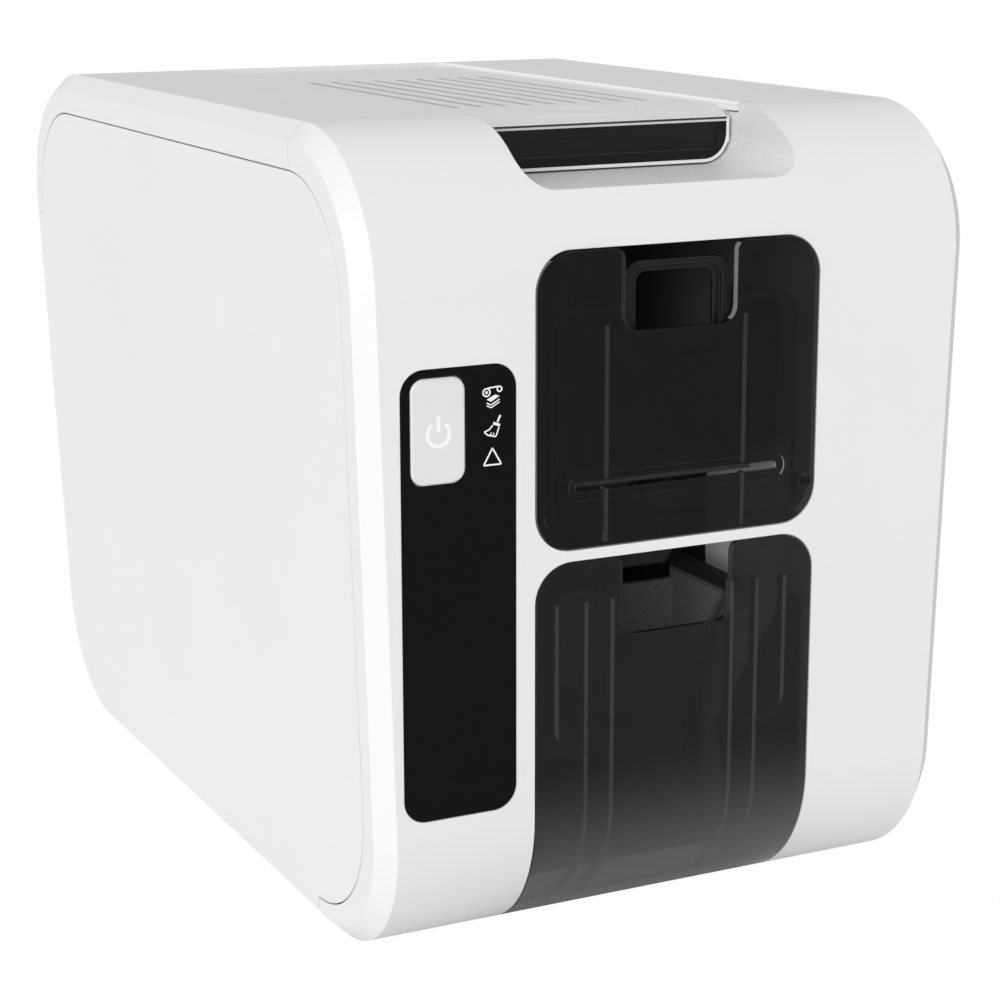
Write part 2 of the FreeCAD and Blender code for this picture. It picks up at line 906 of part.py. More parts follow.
def power_button():
    x, z = button_centre()
    cap = rounded_block_y(button_left, button_right, button_bottom, button_top, button_radius,
                          0, button_depth)
    front_edges = [e for e in cap.Edges if e.BoundBox.YMax < button_gap]
    cap = cap.makeChamfer(button_edge, front_edges)
    flange_front = wall + pin_clearance
    flange = rounded_block_y(button_left - button_lip, button_right + button_lip,
                             button_bottom - button_lip, button_top + button_lip, button_radius,
                             flange_front, flange_front + button_flange)
    switch_front = control_board_front - switch_height
    stem = rod_y(wall, switch_front - button_travel - pin_clearance, x, z, button_stem_radius)
    return join([cap, flange, stem])


def control_board():
    x, z = button_centre()
    back = control_board_front + board_thickness
    board = box(panel_left, panel_right - control_board_gap, control_board_front, back,
                control_board_bottom, panel_top)
    half = switch_size / 2
    pieces = [board, box(x - half, x + half, control_board_front - switch_height,
                         control_board_front, z - half, z + half)]
    for height in icon_heights:
        pieces.append(box(icon_x - led_height, icon_x + led_height,
                          control_board_front - led_height, control_board_front,
                          height - led_height, height + led_height))
    plug_half = switch_size
    pieces.append(box(x - plug_half, x + plug_half, back, back + switch_height * 2,
                      control_board_bottom + half, control_board_bottom + half * 2))
    return join(pieces)


def light_guides():
    guides = []
    for height in icon_heights:
        guides.append(rod_y(panel_face + pin_clearance,
                            control_board_front - led_height - pin_clearance,
                            icon_x, height, light_guide_radius))
    return Part.makeCompound(guides)


# Front doors
def notch_cut(top, y0, y1):
    """Finger notch in a door's top edge, with flared upper corners."""
    bottom = top - notch_depth
    slot = rounded_block_y(-notch_half, notch_half, bottom, top + overrun, notch_radius, y0, y1)
    flare = box(-notch_half - notch_flare, notch_half + notch_flare, y0, y1,
                top - notch_flare, top + overrun)
    for side in (-1, 1):
        flare = flare.cut(rod_y(y0, y1, side * (notch_half + notch_flare), top - notch_flare,
                                notch_flare))
    return slot.fuse(flare)


def upper_door_rim():
    """Stiffening rim behind the door's lower edge, on both sides of the card's way."""
    back = door_wall + upper_door_rim_depth
    inset = upper_door_rim_height
    rim = rounded_block_y(-door_half, door_half, upper_door_bottom, upper_door_top,
                          upper_door_radius, door_wall / 2, back)
    inner = rounded_block_y(-door_half + inset, door_half - inset, upper_door_bottom + inset,
                            upper_door_top, upper_door_radius - inset, 0, back)
    middle = box(-door_rib_x, door_rib_x, 0, back, 0, upper_pivot_height)
    above = box(-door_half, door_half, 0, back, upper_pivot_height, body_height)
    return rim.cut([inner, middle, above])


def upper_door():
    pieces = [rounded_block_y(-door_half, door_half, upper_door_bottom, upper_door_top,
                              upper_door_radius, 0, door_wall)]
    pieces.append(upper_door_rim())
    rib_top = upper_door_top - door_rib_drop
    slot_low = feed_slot_middle - feed_slot_height / 2
    slot_high = feed_slot_middle + feed_slot_height / 2
    for x in (-door_rib_x, door_rib_x):
        pieces.append(box(x - door_rib_width / 2, x + door_rib_width / 2, door_wall / 2,
                          gate_front - hidden_gap, slot_high, rib_top))
        pieces.append(box(x - door_rib_width / 2, x + door_rib_width / 2, door_wall / 2,
                          door_rib_back, upper_door_bottom, slot_low))
    ear_outer = door_half - upper_ear_inset
    bores = []
    for side in (-1, 1):
        inner_x = side * (ear_outer - upper_ear_width)
        pieces.append(rod_x(inner_x, side * ear_outer, upper_pivot_y, upper_pivot_height,
                            upper_ear_radius))
        bores.append(rod_x(inner_x, side * body_half, upper_pivot_y, upper_pivot_height,
                           upper_pin_radius + pin_clearance))
    door = join(pieces)
    rim = rounded_block_y(-feed_slot_half - feed_slot_rim, feed_slot_half + feed_slot_rim,
                          slot_low - feed_slot_rim, slot_high + feed_slot_rim,
                          feed_slot_rim + feed_slot_height * near_half_share, -overrun,
                          feed_slot_rim_depth)
    slot = rounded_block_y(-feed_slot_half, feed_slot_half, slot_low, slot_high,
                           feed_slot_height * near_half_share, -overrun, overrun)
    return door.cut([notch_cut(upper_door_top, -overrun, overrun), rim, slot] + bores)


def card_gate():
    """Frame behind the upper door that holds the stack; its arch shows through the notch."""
    back = gate_front + gate_thickness
    plate = rounded_block_y(-gate_half, gate_half, gate_bottom, gate_top, gate_corner,
                            gate_front, back)
    tab = rounded_block_y(-arch_half, arch_half, gate_top - gate_corner * 2,
                          gate_top + arch_height, arch_radius, gate_front, back)
    opening = rounded_block_y(-arch_half + arch_rim, arch_half - arch_rim,
                              gate_top - arch_opening_drop,
                              gate_top + arch_height - arch_rim * arch_opening_share,
                              arch_radius * arch_opening_corner_share, gate_front, back)
    step = rounded_block_y(-arch_half + arch_rim / 2, arch_half - arch_rim / 2,
                           gate_top - arch_opening_drop,
                           gate_top + arch_height - arch_rim * arch_step_share,
                           arch_radius * arch_step_corner_share, gate_front,
                           gate_front + gate_thickness / 2)
    return join([plate, tab]).cut([opening, step])


def lower_door():
    ring = profile_prism(0.0, -door_half, door_half)
    ring = ring.cut(profile_prism(door_wall, -door_half - overrun, door_half + overrun))
    outline = rounded_block_y(-door_half, door_half, -overrun, lower_door_top, lower_door_radius,
                              -overrun, lower_door_end)
    sheet = ring.common(outline)
    pieces = [sheet]
    cheek = prism_x([
        (0, cheek_top), (cheek_reach, cheek_top),
        (lower_pivot_y + cheek_hub_radius, lower_pivot_height + cheek_hub_radius / 2),
        (lower_pivot_y + cheek_hub_radius, lower_pivot_height),
        (lower_door_end, 0), (0, 0),
    ], door_half - cheek_width, door_half)
    hub = rod_x(door_half - cheek_width, door_half, lower_pivot_y, lower_pivot_height,
                cheek_hub_radius)
    cheek = join([cheek.common(profile_prism(door_wall / 2, 0, body_half)), hub])
    pieces += [cheek, mirror_x(cheek)]
    for x, end in zip(lower_rib_places, lower_rib_ends):
        for side in (-1, 1):
            rib = profile_prism(door_wall / 2, side * x - door_rib_width / 2,
                                side * x + door_rib_width / 2)
            rib = rib.cut(profile_prism(door_wall + lower_rib_depth, -body_half, body_half))
            zone = box(-body_half, body_half, 0, lower_door_end, end,
                       lower_door_top - lower_rib_drop)
            pieces.append(rib.common(zone))
    door = join(pieces)
    pin_bore = rod_x(-body_half, body_half, lower_pivot_y, lower_pivot_height,
                     lower_pin_radius + pin_clearance)
    return door.cut([notch_cut(lower_door_top, -overrun, overrun), pin_bore])


def upper_door_pins():
    """Two plain pins along x, from the bay walls into the ears of the door."""
    inner = door_half - upper_ear_inset - upper_ear_width + pin_clearance
    pin = rod_x(inner, bay_outer, upper_pivot_y, upper_pivot_height, upper_pin_radius)
    return Part.makeCompound([pin, mirror_x(pin)])


def lower_door_pins():
    """Two pins along x, each with a head inside the door's cheek."""
    inner = door_half - cheek_width - pin_clearance * 2
    shaft = rod_x(inner, bay_outer, lower_pivot_y, lower_pivot_height, lower_pin_radius)
    head = rod_x(inner - pin_head_width, inner, lower_pivot_y, lower_pivot_height,
                 lower_pin_radius + pin_head_rise)
    pin = join([shaft, head])
    return Part.makeCompound([pin, mirror_x(pin)])


# Lid
def louvre_grooves():
    grooves = []
    first = -louvre_pitch * (louvre_count - 1) / 2
    for index in range(louvre_count):
        x = first + louvre_pitch * index
        half = louvre_width / 2
        groove = prism_y([(x - half, lid_top), (x, lid_top - louvre_depth), (x + half, lid_top),
                          (x, lid_top + louvre_depth)], louvre_start, louvre_end)
        grooves.append(groove)
    return grooves


def lid_nose():
    """Wedge under the lid's front, which keeps the wall whole where the top slopes down."""
    drop = lid_top - lid_nose_height
    return prism_x([(lid_front, lid_top), (lid_front, lid_under - drop),
                    (lid_front + lid_wall, lid_under - drop), (lid_nose_start, lid_under),
                    (lid_nose_start, lid_top)], -lid_half, lid_half)


def nose_slope():
    """What the slope takes off the lid's top, from the louvres forward."""
    return prism_x([(lid_nose_start, lid_top), (lid_front, lid_nose_height),
                    (lid_front - overrun, lid_nose_height), (lid_front - overrun, body_height),
                    (lid_nose_start, body_height)], -body_half, body_half)


def lid_shell():
    sheet = box(-lid_half, lid_half, lid_front, hinge_y, lid_under, lid_top)
    front = rounded_block_y(-lid_half, lid_half, lid_bottom, lid_top + overrun,
                            lid_corner_radius, lid_front, lid_front + lid_wall)
    front = front.common(box(-body_half, body_half, 0, body_depth, 0, lid_top))
    pieces = [sheet, front, lid_nose()]
    for side in (-1, 1):
        inner = side * (lid_half - lid_wall)
        outer = side * lid_half
        pieces.append(box(min(inner, outer), max(inner, outer), lid_front, hinge_y,
                          lid_skirt_bottom, lid_top))
        boss_inner = side * (lid_half - hinge_boss_width)
        pieces.append(rod_x(boss_inner, outer, hinge_y, hinge_height, hinge_boss_radius))
        pieces.append(box(min(boss_inner, outer), max(boss_inner, outer),
                          hinge_y - hinge_boss_radius, hinge_y, hinge_height, lid_top))
    barrel = rod_x(-lid_half, lid_half, hinge_y, hinge_height, hinge_barrel_radius)
    hollow = rod_x(-body_half, body_half, hinge_y, hinge_height, hinge_barrel_radius - lid_wall)
    end = math.radians(hinge_barrel_end_angle)
    reach = hinge_barrel_radius * 2
    sector = prism_x([(hinge_y, hinge_height), (hinge_y, hinge_height + reach),
                      (hinge_y + reach, hinge_height + reach),
                      (hinge_y + reach, hinge_height + reach * math.tan(end))],
                     -body_half, body_half)
    pieces.append(barrel.cut(hollow).common(sector))
    lid = join(pieces)
    recess = rounded_block_y(-lid_half + grip_inset, lid_half - grip_inset,
                             lid_bottom + grip_inset, grip_top + overrun,
                             lid_corner_radius - grip_inset, 0, lid_front + grip_thickness)
    recess = recess.common(box(-body_half, body_half, 0, body_depth, 0, grip_top))
    cuts = [recess, nose_slope()] + louvre_grooves()
    cuts.append(rod_x(-body_half, body_half, hinge_y, hinge_height,
                      hinge_pin_radius + pin_clearance))
    cuts.append(Part.makeSphere(dish_radius, Vector(dish_x, dish_y,
                                                    lid_top - dish_depth + dish_radius)))
    return lid.cut(cuts)


def lid_grip():
    bottom = lid_bottom + grip_inset
    radius = lid_corner_radius - grip_inset
    plate = rounded_block_y(-lid_half + grip_inset, lid_half - grip_inset, bottom,
                            grip_top + overrun, radius, lid_front, lid_front + grip_thickness)
    plate = plate.common(box(-body_half, body_half, 0, body_depth, 0, grip_top))
    inset = grip_finger_inset
    height = grip_top - bottom - inset * 2
    hollow = rounded_block_y(-lid_half + grip_inset + inset, lid_half - grip_inset - inset,
                             bottom + inset, grip_top - inset,
                             min(grip_finger_radius, height * near_half_share),
                             lid_front - overrun, lid_front + grip_finger_depth)
    return plate.cut(hollow)


def lid_hinge_pins():
    inner = lid_half - hinge_boss_width
    outer = plate_inner + plate_thickness
    shaft = rod_x(inner, outer + hinge_head_width, hinge_y, hinge_height, hinge_pin_radius)
    head = rod_x(outer, outer + hinge_head_width, hinge_y, hinge_height, hinge_head_radius)
    pin = join([shaft, head])
    return Part.makeCompound([pin, mirror_x(pin)])


# Print head, carried by the lid
def head_bracket():
    plate = box(-sink_half - arm_thickness, sink_half + arm_thickness, arm_top_front, arm_top_back,
                lid_under - head_plate_thickness, lid_under)
    arm = prism_x([(arm_bottom_front, arm_bottom), (arm_bottom_back, arm_bottom),
                   (arm_bottom_back, head_bottom() + head_height + sink_height),
                   (arm_top_back, lid_under), (arm_top_front, lid_under),
                   (arm_bottom_front, head_bottom() + head_height + sink_height)],
                  sink_half, sink_half + arm_thickness)
    rods = [rod_x(-sink_half - arm_thickness, sink_half + arm_thickness, y, ribbon_guide_height,
                  ribbon_guide_radius) for y in guide_rod_places()]
    middle = (arm_top_front + arm_top_back) / 2
    window = prism_x([(arm_bottom_front + arm_window_margin, lid_under - arm_window_margin),
                      (arm_top_back - arm_window_margin * 2, lid_under - arm_window_margin),
                      (middle, head_bottom() + head_height + sink_height)], 0, body_half)
    arm = arm.cut(window)
    return join([plate, arm, mirror_x(arm)] + rods)


def head_bottom():
    return upper_nip + head_bottom_gap + film_thickness * 2


def guide_rod_places():
    return (platen_y - ribbon_guide_reach, platen_y + ribbon_guide_reach)


def print_head():
    low = head_bottom()
    return prism_x([(platen_y - head_edge / 2, low), (platen_y + head_edge / 2, low),
                    (platen_y + head_depth / 2, low + head_edge),
                    (platen_y + head_depth / 2, low + head_height),
                    (platen_y - head_depth / 2, low + head_height),
                    (platen_y - head_depth / 2, low + head_edge)], -head_half, head_half)


def head_heat_sink():
    low = head_bottom() + head_height
    front = platen_y - sink_depth / 2
    back = platen_y + sink_depth / 2
    pieces = [box(-sink_half, sink_half, front, back, low, low + sink_base)]
    pitch = (sink_half * 2 - fin_thickness) / (fin_count - 1)
    for index in range(fin_count):
        x = -sink_half + pitch * index
        pieces.append(box(x, x + fin_thickness, front, back, low + sink_base, low + sink_height))
    return join(pieces)


# Chassis
def lower_shaft_places():
    return [(y, roller_height) for y in (feed_y, entry_y, platen_y, exit_y)]


def upper_shaft_places():
    return [(entry_y, upper_nip + cleaning_radius), (exit_y, upper_nip + pinch_radius)]


def spool_places():
    return [(take_up_y, take_up_height), (supply_y, supply_height)]


def chassis_plate(side):
    """A folded steel side plate with bearing holes and open slots for the spools."""
    x0 = plate_inner
    x1 = plate_inner + plate_thickness
    zone = join([
        box(x0, x1, 0, plate_low_start, floor_top, plate_front_top),
        box(x0, x1, 0, plate_back, floor_top, plate_low_top),
        box(x0, x1, plate_low_end, plate_back, floor_top, plate_rear_top),
    ])
    plate = profile_prism(plate_inset, x0, x1).common(zone)
    plate = plate.cut(box(x0, x1, 0, bay_wall_back, 0, bay_wall_bottom))
    strip = box(x0, x1, flange_start, flange_end, floor_top, bay_wall_bottom)
    flange = box(x0, x0 + flange_width, flange_start, flange_end,
                 floor_top, floor_top + flange_thickness)
    cuts = []
    for y, z in lower_shaft_places():
        cuts.append(rod_x(0, body_half, y, z, bush_radius + pin_clearance))
    for y, z in upper_shaft_places():
        cuts.append(rod_x(0, body_half, y, z, upper_shaft_radius + pin_clearance))
    slot_half = spool_journal_radius + pin_clearance
    for y, z in spool_places():
        cuts.append(rod_x(0, body_half, y, z, slot_half))
        cuts.append(box(0, body_half, y - slot_half, y + slot_half, z, plate_low_top + overrun))
    cuts.append(rod_x(0, body_half, hinge_y, hinge_height, hinge_pin_radius + pin_clearance))
    for y, z in bar_places:
        cuts.append(rod_x(0, body_half, y, z, bar_end_radius + pin_clearance))
    cuts.append(rod_x(0, body_half, flap_y, flap_height, flap_shaft_radius + pin_clearance))
    if side > 0:
        for y, z, radius in (motor_place() + (motor_boss_radius,),
                             ribbon_motor_place() + (motor_boss_radius,)):
            cuts.append(rod_x(0, body_half, y, z, radius + pin_clearance))
    margin = window_margin
    bar_span = bar_places[0][1] - bar_low_height
    windows = [
        (margin, feed_y - margin, bay_wall_back, roller_height - margin),
        (lower_door_notch_back + margin, bar_low_height + bar_span * window_low_share,
         plate_low_end - margin, bar_low_height + bar_span * window_high_share),
    ]
    for y0, z0, y1, z1 in windows:
        opening = box(x0, x1, y0, y1, z0, z1)
        edges = [e for e in opening.Edges if abs(e.tangentAt(e.FirstParameter).x) > parallel_share]
        cuts.append(opening.makeFillet(window_radius, edges))
    for y in case_screw_places:
        cuts.append(rod_z(0, floor_top + overrun, case_screw_x, y, screw_radius + pin_clearance))
    plate = join([plate, strip, flange]).cut(cuts)
    return plate if side > 0 else mirror_x(plate)


def left_chassis_plate():
    """Left plate with the four posts that carry the main board."""
    return join([chassis_plate(-1)] + board_posts())


def right_chassis_plate():
    """Right plate with the riveted posts that the loose gears turn on."""
    return join([chassis_plate(1)] + idler_posts())


def cross_bars():
    bars = []
    reach = plate_inner + plate_thickness
    for y, z in bar_places:
        middle = rod_x(-plate_inner, plate_inner, y, z, bar_radius)
        ends = rod_x(-reach, reach, y, z, bar_end_radius)
        bars.append(join([middle, ends]))
    return Part.makeCompound(bars)


def bush(side, y, z):
    inner = plate_inner - bush_flange
    outer = plate_inner + plate_thickness
    sleeve = rod_x(inner, outer, y, z, bush_radius)
    flange = rod_x(inner, plate_inner, y, z, bush_flange_radius)
    ring = join([sleeve, flange]).cut(rod_x(0, body_half, y, z, shaft_radius + pin_clearance))
    return ring if side > 0 else mirror_x(ring)


def roller_bushes():
    return Part.makeCompound([bush(side, y, z) for side in (-1, 1)
                              for y, z in lower_shaft_places()])


# Rollers
def drive_shaft(y):
    """Shaft through both bushes, as far as the outer face of its gear."""
    reach = plate_inner + plate_thickness + hidden_gap
    shaft = rod_x(-reach, gear_outer + post_head, y, roller_height, shaft_radius)
    groove = shaft_radius - shaft_groove_gap
    ring = rod_x(gear_outer, gear_outer + post_head / 2, y, roller_height, shaft_radius)
    ring = ring.cut(rod_x(0, body_half, y, roller_height, groove))
    return shaft.cut(ring)


def tyre(y, z, radius, half, bore):
    sleeve = rod_x(-half, half, y, z, radius)
    edges = [e for e in sleeve.Edges if e.Closed]
    sleeve = sleeve.makeChamfer(shaft_groove_gap, edges)
    return sleeve.cut(rod_x(-body_half, body_half, y, z, bore))


def upper_shaft(y, z):
    reach = plate_inner + plate_thickness + hidden_gap
    return rod_x(-reach, reach, y, z, upper_shaft_radius)


# Gears
def gear_wheel(teeth, phase, y, z, bore, web):
    """Spur gear with straight-flanked teeth, its face thinned to a web between rim and hub."""
    radius = gear_module * teeth / 2
    tip = radius + gear_module * addendum_share
    root = radius - gear_module * dedendum_share
    half_tooth = math.pi * gear_module * tooth_thickness_share / 2
    slope = math.tan(math.radians(pressure_angle))
    tip_angle = (half_tooth - (tip - radius) * slope) / tip
    root_angle = (half_tooth + (radius - root) * slope) / root
    points = []
    for index in range(teeth):
        middle = phase + 2 * math.pi * index / teeth
        for angle, reach in ((middle - root_angle, root), (middle - tip_angle, tip),
                             (middle + tip_angle, tip), (middle + root_angle, root)):
            points.append((y + reach * math.cos(angle), z + reach * math.sin(angle)))
    wheel = prism_x(points, gear_inner, gear_outer)
    rim = root - gear_module * 2
    hub = bore + gear_module * 2
    if web and rim > hub + gear_module * 2:
        depth = (gear_width - gear_web_thickness) / 2
        for x0, x1 in ((gear_inner, gear_inner + depth), (gear_outer - depth, gear_outer)):
            ring = rod_x(x0, x1, y, z, rim).cut(rod_x(x0, x1, y, z, hub))
            wheel = wheel.cut(ring)
    return wheel.cut(rod_x(gear_inner - overrun, gear_outer + overrun, y, z, bore))


def mesh_phase(place, phase, teeth, other_place, other_teeth):
    """Phase that puts a gap of the other gear on the tooth that faces it."""
    angle = math.atan2(other_place[1] - place[1], other_place[0] - place[0])
    share = (angle - phase) * teeth / (2 * math.pi)
    share -= math.floor(share)
    return angle + math.pi - (0.5 - share) * 2 * math.pi / other_teeth


def idler_teeth(y0, y1):
    return round((y1 - y0) / gear_module) - roller_gear_teeth


def gear_line():
    """Every gear of the drive train: name, teeth, place and phase, in mesh at rest."""
    line = []
    rollers = (("feed", feed_y), ("entry", entry_y), ("platen", platen_y), ("exit", exit_y))
    place = (feed_y, roller_height)
    phase = 0.0
    teeth = roller_gear_teeth
    line.append(("feed", teeth, place, phase))
    for index in range(1, len(rollers)):
        name, y = rollers[index]
        previous = rollers[index - 1][1]
        between = idler_teeth(previous, y)
        middle = ((previous + y) / 2, roller_height)
        phase = mesh_phase(place, phase, teeth, middle, between)
        line.append(("idler_" + name, between, middle, phase))
        place = (y, roller_height)
        phase = mesh_phase(middle, phase, between, place, roller_gear_teeth)
        line.append((name, roller_gear_teeth, place, phase))
    return line


def gear_entry(name):
    return [entry for entry in gear_line() if entry[0] == name][0]


def motor_place():
    idler = gear_entry("idler_entry")
    reach = gear_module * (idler[1] + pinion_teeth) / 2
    angle = math.radians(motor_angle)
    return (idler[2][0] + reach * math.cos(angle), idler[2][1] + reach * math.sin(angle))


def ribbon_motor_place():
    reach = gear_module * (take_up_gear_teeth + ribbon_pinion_teeth) / 2
    angle = math.radians(ribbon_motor_angle)
    return (take_up_y + reach * math.cos(angle), take_up_height + reach * math.sin(angle))


def roller_gear(name):
    entry = gear_entry(name)
    return gear_wheel(entry[1], entry[3], entry[2][0], entry[2][1], shaft_radius, True)


def idler_gear(name):
    entry = gear_entry(name)
    return gear_wheel(entry[1], entry[3], entry[2][0], entry[2][1],
                      idler_post_radius + pin_clearance, True)


def idler_posts():
    posts = []
    inner = plate_inner + plate_thickness
    for name in ("idler_entry", "idler_platen", "idler_exit"):
        y, z = gear_entry(name)[2]
        shoulder = rod_x(inner, gear_inner - pin_clearance, y, z, post_head_radius)
        post = rod_x(inner, gear_outer + pin_clearance, y, z, idler_post_radius)
        head = rod_x(gear_outer + pin_clearance, gear_outer + post_head, y, z, post_head_radius)
        posts.append(join([shoulder, post, head]))
    return posts


def drive_pinion():
    name, teeth, place, phase = gear_entry("idler_entry")
    own = mesh_phase(place, phase, teeth, motor_place(), pinion_teeth)
    y, z = motor_place()
    wheel = gear_wheel(pinion_teeth, own, y, z, motor_shaft_radius, False)
    shaft = rod_x(plate_inner + hidden_gap, gear_outer + post_head, y, z, motor_shaft_radius)
    return join([wheel, shaft])


def take_up_gear():
    return gear_wheel(take_up_gear_teeth, 0.0, take_up_y, take_up_height,
                      spool_journal_radius, True)


def ribbon_pinion():
    own = mesh_phase((take_up_y, take_up_height), 0.0, take_up_gear_teeth,
                     ribbon_motor_place(), ribbon_pinion_teeth)
    y, z = ribbon_motor_place()
    wheel = gear_wheel(ribbon_pinion_teeth, own, y, z, motor_shaft_radius, False)
    shaft = rod_x(plate_inner + hidden_gap, gear_outer + post_head, y, z, motor_shaft_radius)
    return join([wheel, shaft])


def motor_can(place, radius, length, ear_reach):
    """Flat stepper motor on the inside of the right plate, with two screw ears."""
    y, z = place
    can = rod_x(plate_inner - length, plate_inner, y, z, radius)
    boss = rod_x(plate_inner, plate_inner + plate_thickness, y, z, motor_boss_radius)
    pieces = [can, boss]
    for side in (-1, 1):
        ear = rod_x(plate_inner - gear_web_thickness, plate_inner, y, z + side * ear_reach,
                    motor_ear_radius)
        neck = box(plate_inner - gear_web_thickness, plate_inner, y - motor_ear_radius,
                   y + motor_ear_radius, min(z, z + side * ear_reach), max(z, z + side * ear_reach))
        pieces += [ear, neck]
    bore = rod_x(plate_inner, plate_inner + plate_thickness + gear_gap, y, z,
                 motor_shaft_radius + pin_clearance)
    return join(pieces).cut(bore)


# Card hopper
def card_hopper():
    floor_top_z = path_height - hopper_floor_drop
    floor_low = floor_top_z - hopper_wall
    outer = hopper_half + hopper_wall
    back = hopper_back + hopper_wall
    pieces = [
        box(-outer, outer, hopper_front, back, floor_low, floor_top_z),
        box(hopper_half, outer, hopper_front, back, floor_low, hopper_top),
        box(-outer, -hopper_half, hopper_front, back, floor_low, hopper_top),
        box(-outer, outer, hopper_back, back, floor_top_z + hopper_slot, hopper_top),
    ]
    for height in hopper_tab_heights:
        for x0, x1 in ((-plate_inner, -hopper_half), (hopper_half, plate_inner)):
            pieces.append(box(x0, x1, hopper_tab_start, back, height, height + hopper_wall))
    hopper = join(pieces)
    reach = roller_radius + roller_window_play
    window = box(-feed_tyre_half - roller_window_play, feed_tyre_half + roller_window_play,
                 feed_y - reach, feed_y + reach, floor_low - overrun, floor_top_z + hopper_slot)
    notch = rounded_block_y(-hopper_notch_half, hopper_notch_half, hopper_top - hopper_notch_drop,
                            hopper_top + overrun, notch_radius, hopper_back - hopper_wall,
                            back + hopper_wall)
    return hopper.cut([window, notch])


def card_weight():
    low = path_height + weight_gap
    half = hopper_half - weight_side_play
    front = hopper_front + weight_side_play
    back = hopper_back - weight_side_play
    plate = box(-half, half, front, back, low, low + weight_thickness)
    uprights = [e for e in plate.Edges if abs(e.tangentAt(e.FirstParameter).z) > parallel_share]
    plate = plate.makeFillet(weight_thickness, uprights)
    knob = rod_z(low + weight_thickness - weight_gap, low + weight_thickness + weight_knob_height,
                 0, (front + back) / 2, weight_knob_radius)
    top = [e for e in knob.Edges if e.Closed and e.BoundBox.ZMin > low + weight_thickness]
    knob = knob.makeChamfer(weight_knob_edge, top)
    return join([plate, knob])


# Card guide, diverter and chute
def card_guide():
    low = path_height - hopper_floor_drop - guide_thickness
    top = path_height - hopper_floor_drop
    outer = hopper_half + guide_lip_width
    pieces = [box(-outer, outer, guide_start, guide_end, low, top)]
    for x0, x1 in ((-outer, -hopper_half), (hopper_half, outer)):
        pieces.append(box(x0, x1, guide_start, guide_end, low, top + guide_lip_height))
    for y in guide_tab_places:
        for x0, x1 in ((-plate_inner, -hopper_half), (hopper_half, plate_inner)):
            pieces.append(box(x0, x1, y - guide_tab_length / 2, y + guide_tab_length / 2, low, top))
    guide = join(pieces)
    cuts = []
    for y in (entry_y, platen_y, exit_y):
        reach = roller_radius + roller_window_play / 2
        half = roller_half + roller_window_play / 2
        cuts.append(box(-half, half, y - reach, y + reach, low - overrun, top + overrun))
    room = head_depth / 2 + roller_window_play
    cuts.append(box(-plate_inner, plate_inner, platen_y - room, platen_y + room,
                    path_height + hidden_gap, top + overrun))
    return guide.cut(cuts)


def diverter_flap():
    tip_top = path_height - hopper_floor_drop * 2
    blade = prism_x([(flap_y, flap_height + flap_hub_radius), (flap_tip, tip_top),
                     (flap_tip, tip_top - flap_tip_thickness),
                     (flap_y, flap_height - flap_hub_radius)], -flap_half, flap_half)
    hub = rod_x(-flap_half, flap_half, flap_y, flap_height, flap_hub_radius)
    reach = plate_inner + plate_thickness
    return join([blade, hub, rod_x(-reach, reach, flap_y, flap_height, flap_shaft_radius)])


def card_chute():
    """Sloping slide with raised edges, from under the diverter to the output bin."""
    rise = chute_top_height - chute_bottom_height
    run = chute_top_y - chute_bottom_y
    length = math.hypot(run, rise)
    normal = (-rise / length * chute_wall, run / length * chute_wall)
    lip = (-rise / length * chute_lip, run / length * chute_lip)
    top = (chute_top_y, chute_top_height)
    bottom = (chute_bottom_y, chute_bottom_height)
    half = bin_half

    def band(offset):
        return [bottom, top, (top[0] + offset[0], top[1] + offset[1]),
                (bottom[0] + offset[0], bottom[1] + offset[1])]

    pieces = [prism_x(band(normal), -half, half)]
    for side in (-1, 1):
        x0 = side * half
        x1 = side * (half - chute_wall)
        pieces.append(prism_x(band(lip), min(x0, x1), max(x0, x1)))
        tab_end = side * plate_inner
        tab_low = chute_bottom_height + (chute_tab_y - chute_bottom_y) * rise / run
        pieces.append(box(min(x0, tab_end), max(x0, tab_end), chute_tab_y, chute_tab_y + chute_lip,
                          tab_low, tab_low + chute_lip))
    return join(pieces)


def output_bin():
    outer = bin_half + bin_wall
    back = bin_back + bin_wall
    side_plate = prism_x([(bin_floor_front_y, bin_floor_front), (back, bin_floor_back + bin_wall),
                          (back, bin_side_top), (bin_side_front_top, bin_side_top),
                          (bin_side_waist_y, bin_side_waist), (bin_side_low_y, bin_side_low)],
                         bin_half, outer)
    floor = prism_x([(bin_floor_front_y, bin_floor_front - bin_wall), (back, bin_floor_back),
                     (back, bin_floor_back + bin_wall),
                     (bin_floor_front_y, bin_floor_front)], -outer, outer)
    back_wall = box(-outer, outer, bin_back, back, bin_floor_back, bin_back_top)
    rail = box(outer - bin_wall, outer + bin_rail_width, bin_side_front_top, bin_rail_back,
               bin_side_top - bin_rail_height, bin_side_top)
    tab = box(outer, bay_inner - hidden_gap, bin_back, back, bin_tab_height,
              bin_tab_height + bin_foot_width)
    foot = prism_x([(bin_back, bin_floor_back), (bin_foot_front, bin_floor_back),
                    (bin_foot_front, floor_top), (bin_foot_back, floor_top),
                    (bin_foot_back, bin_floor_back + bin_wall),
                    (bin_back, bin_floor_back + bin_wall)], -bin_foot_width, bin_foot_width)
    return join([floor, back_wall, side_plate, mirror_x(side_plate), rail, mirror_x(rail),
                 tab, mirror_x(tab), foot])


# Ribbon
def spool(y, z, right_end):
    core = rod_x(-spool_half, spool_half, y, z, spool_core_radius)
    journal = rod_x(-plate_inner - plate_thickness, right_end, y, z, spool_journal_radius)
    pieces = [core, journal]
    for side in (-1, 1):
        inner = side * (spool_half - spool_flange)
        pieces.append(rod_x(inner, side * spool_half, y, z, spool_flange_radius))
    return join(pieces)


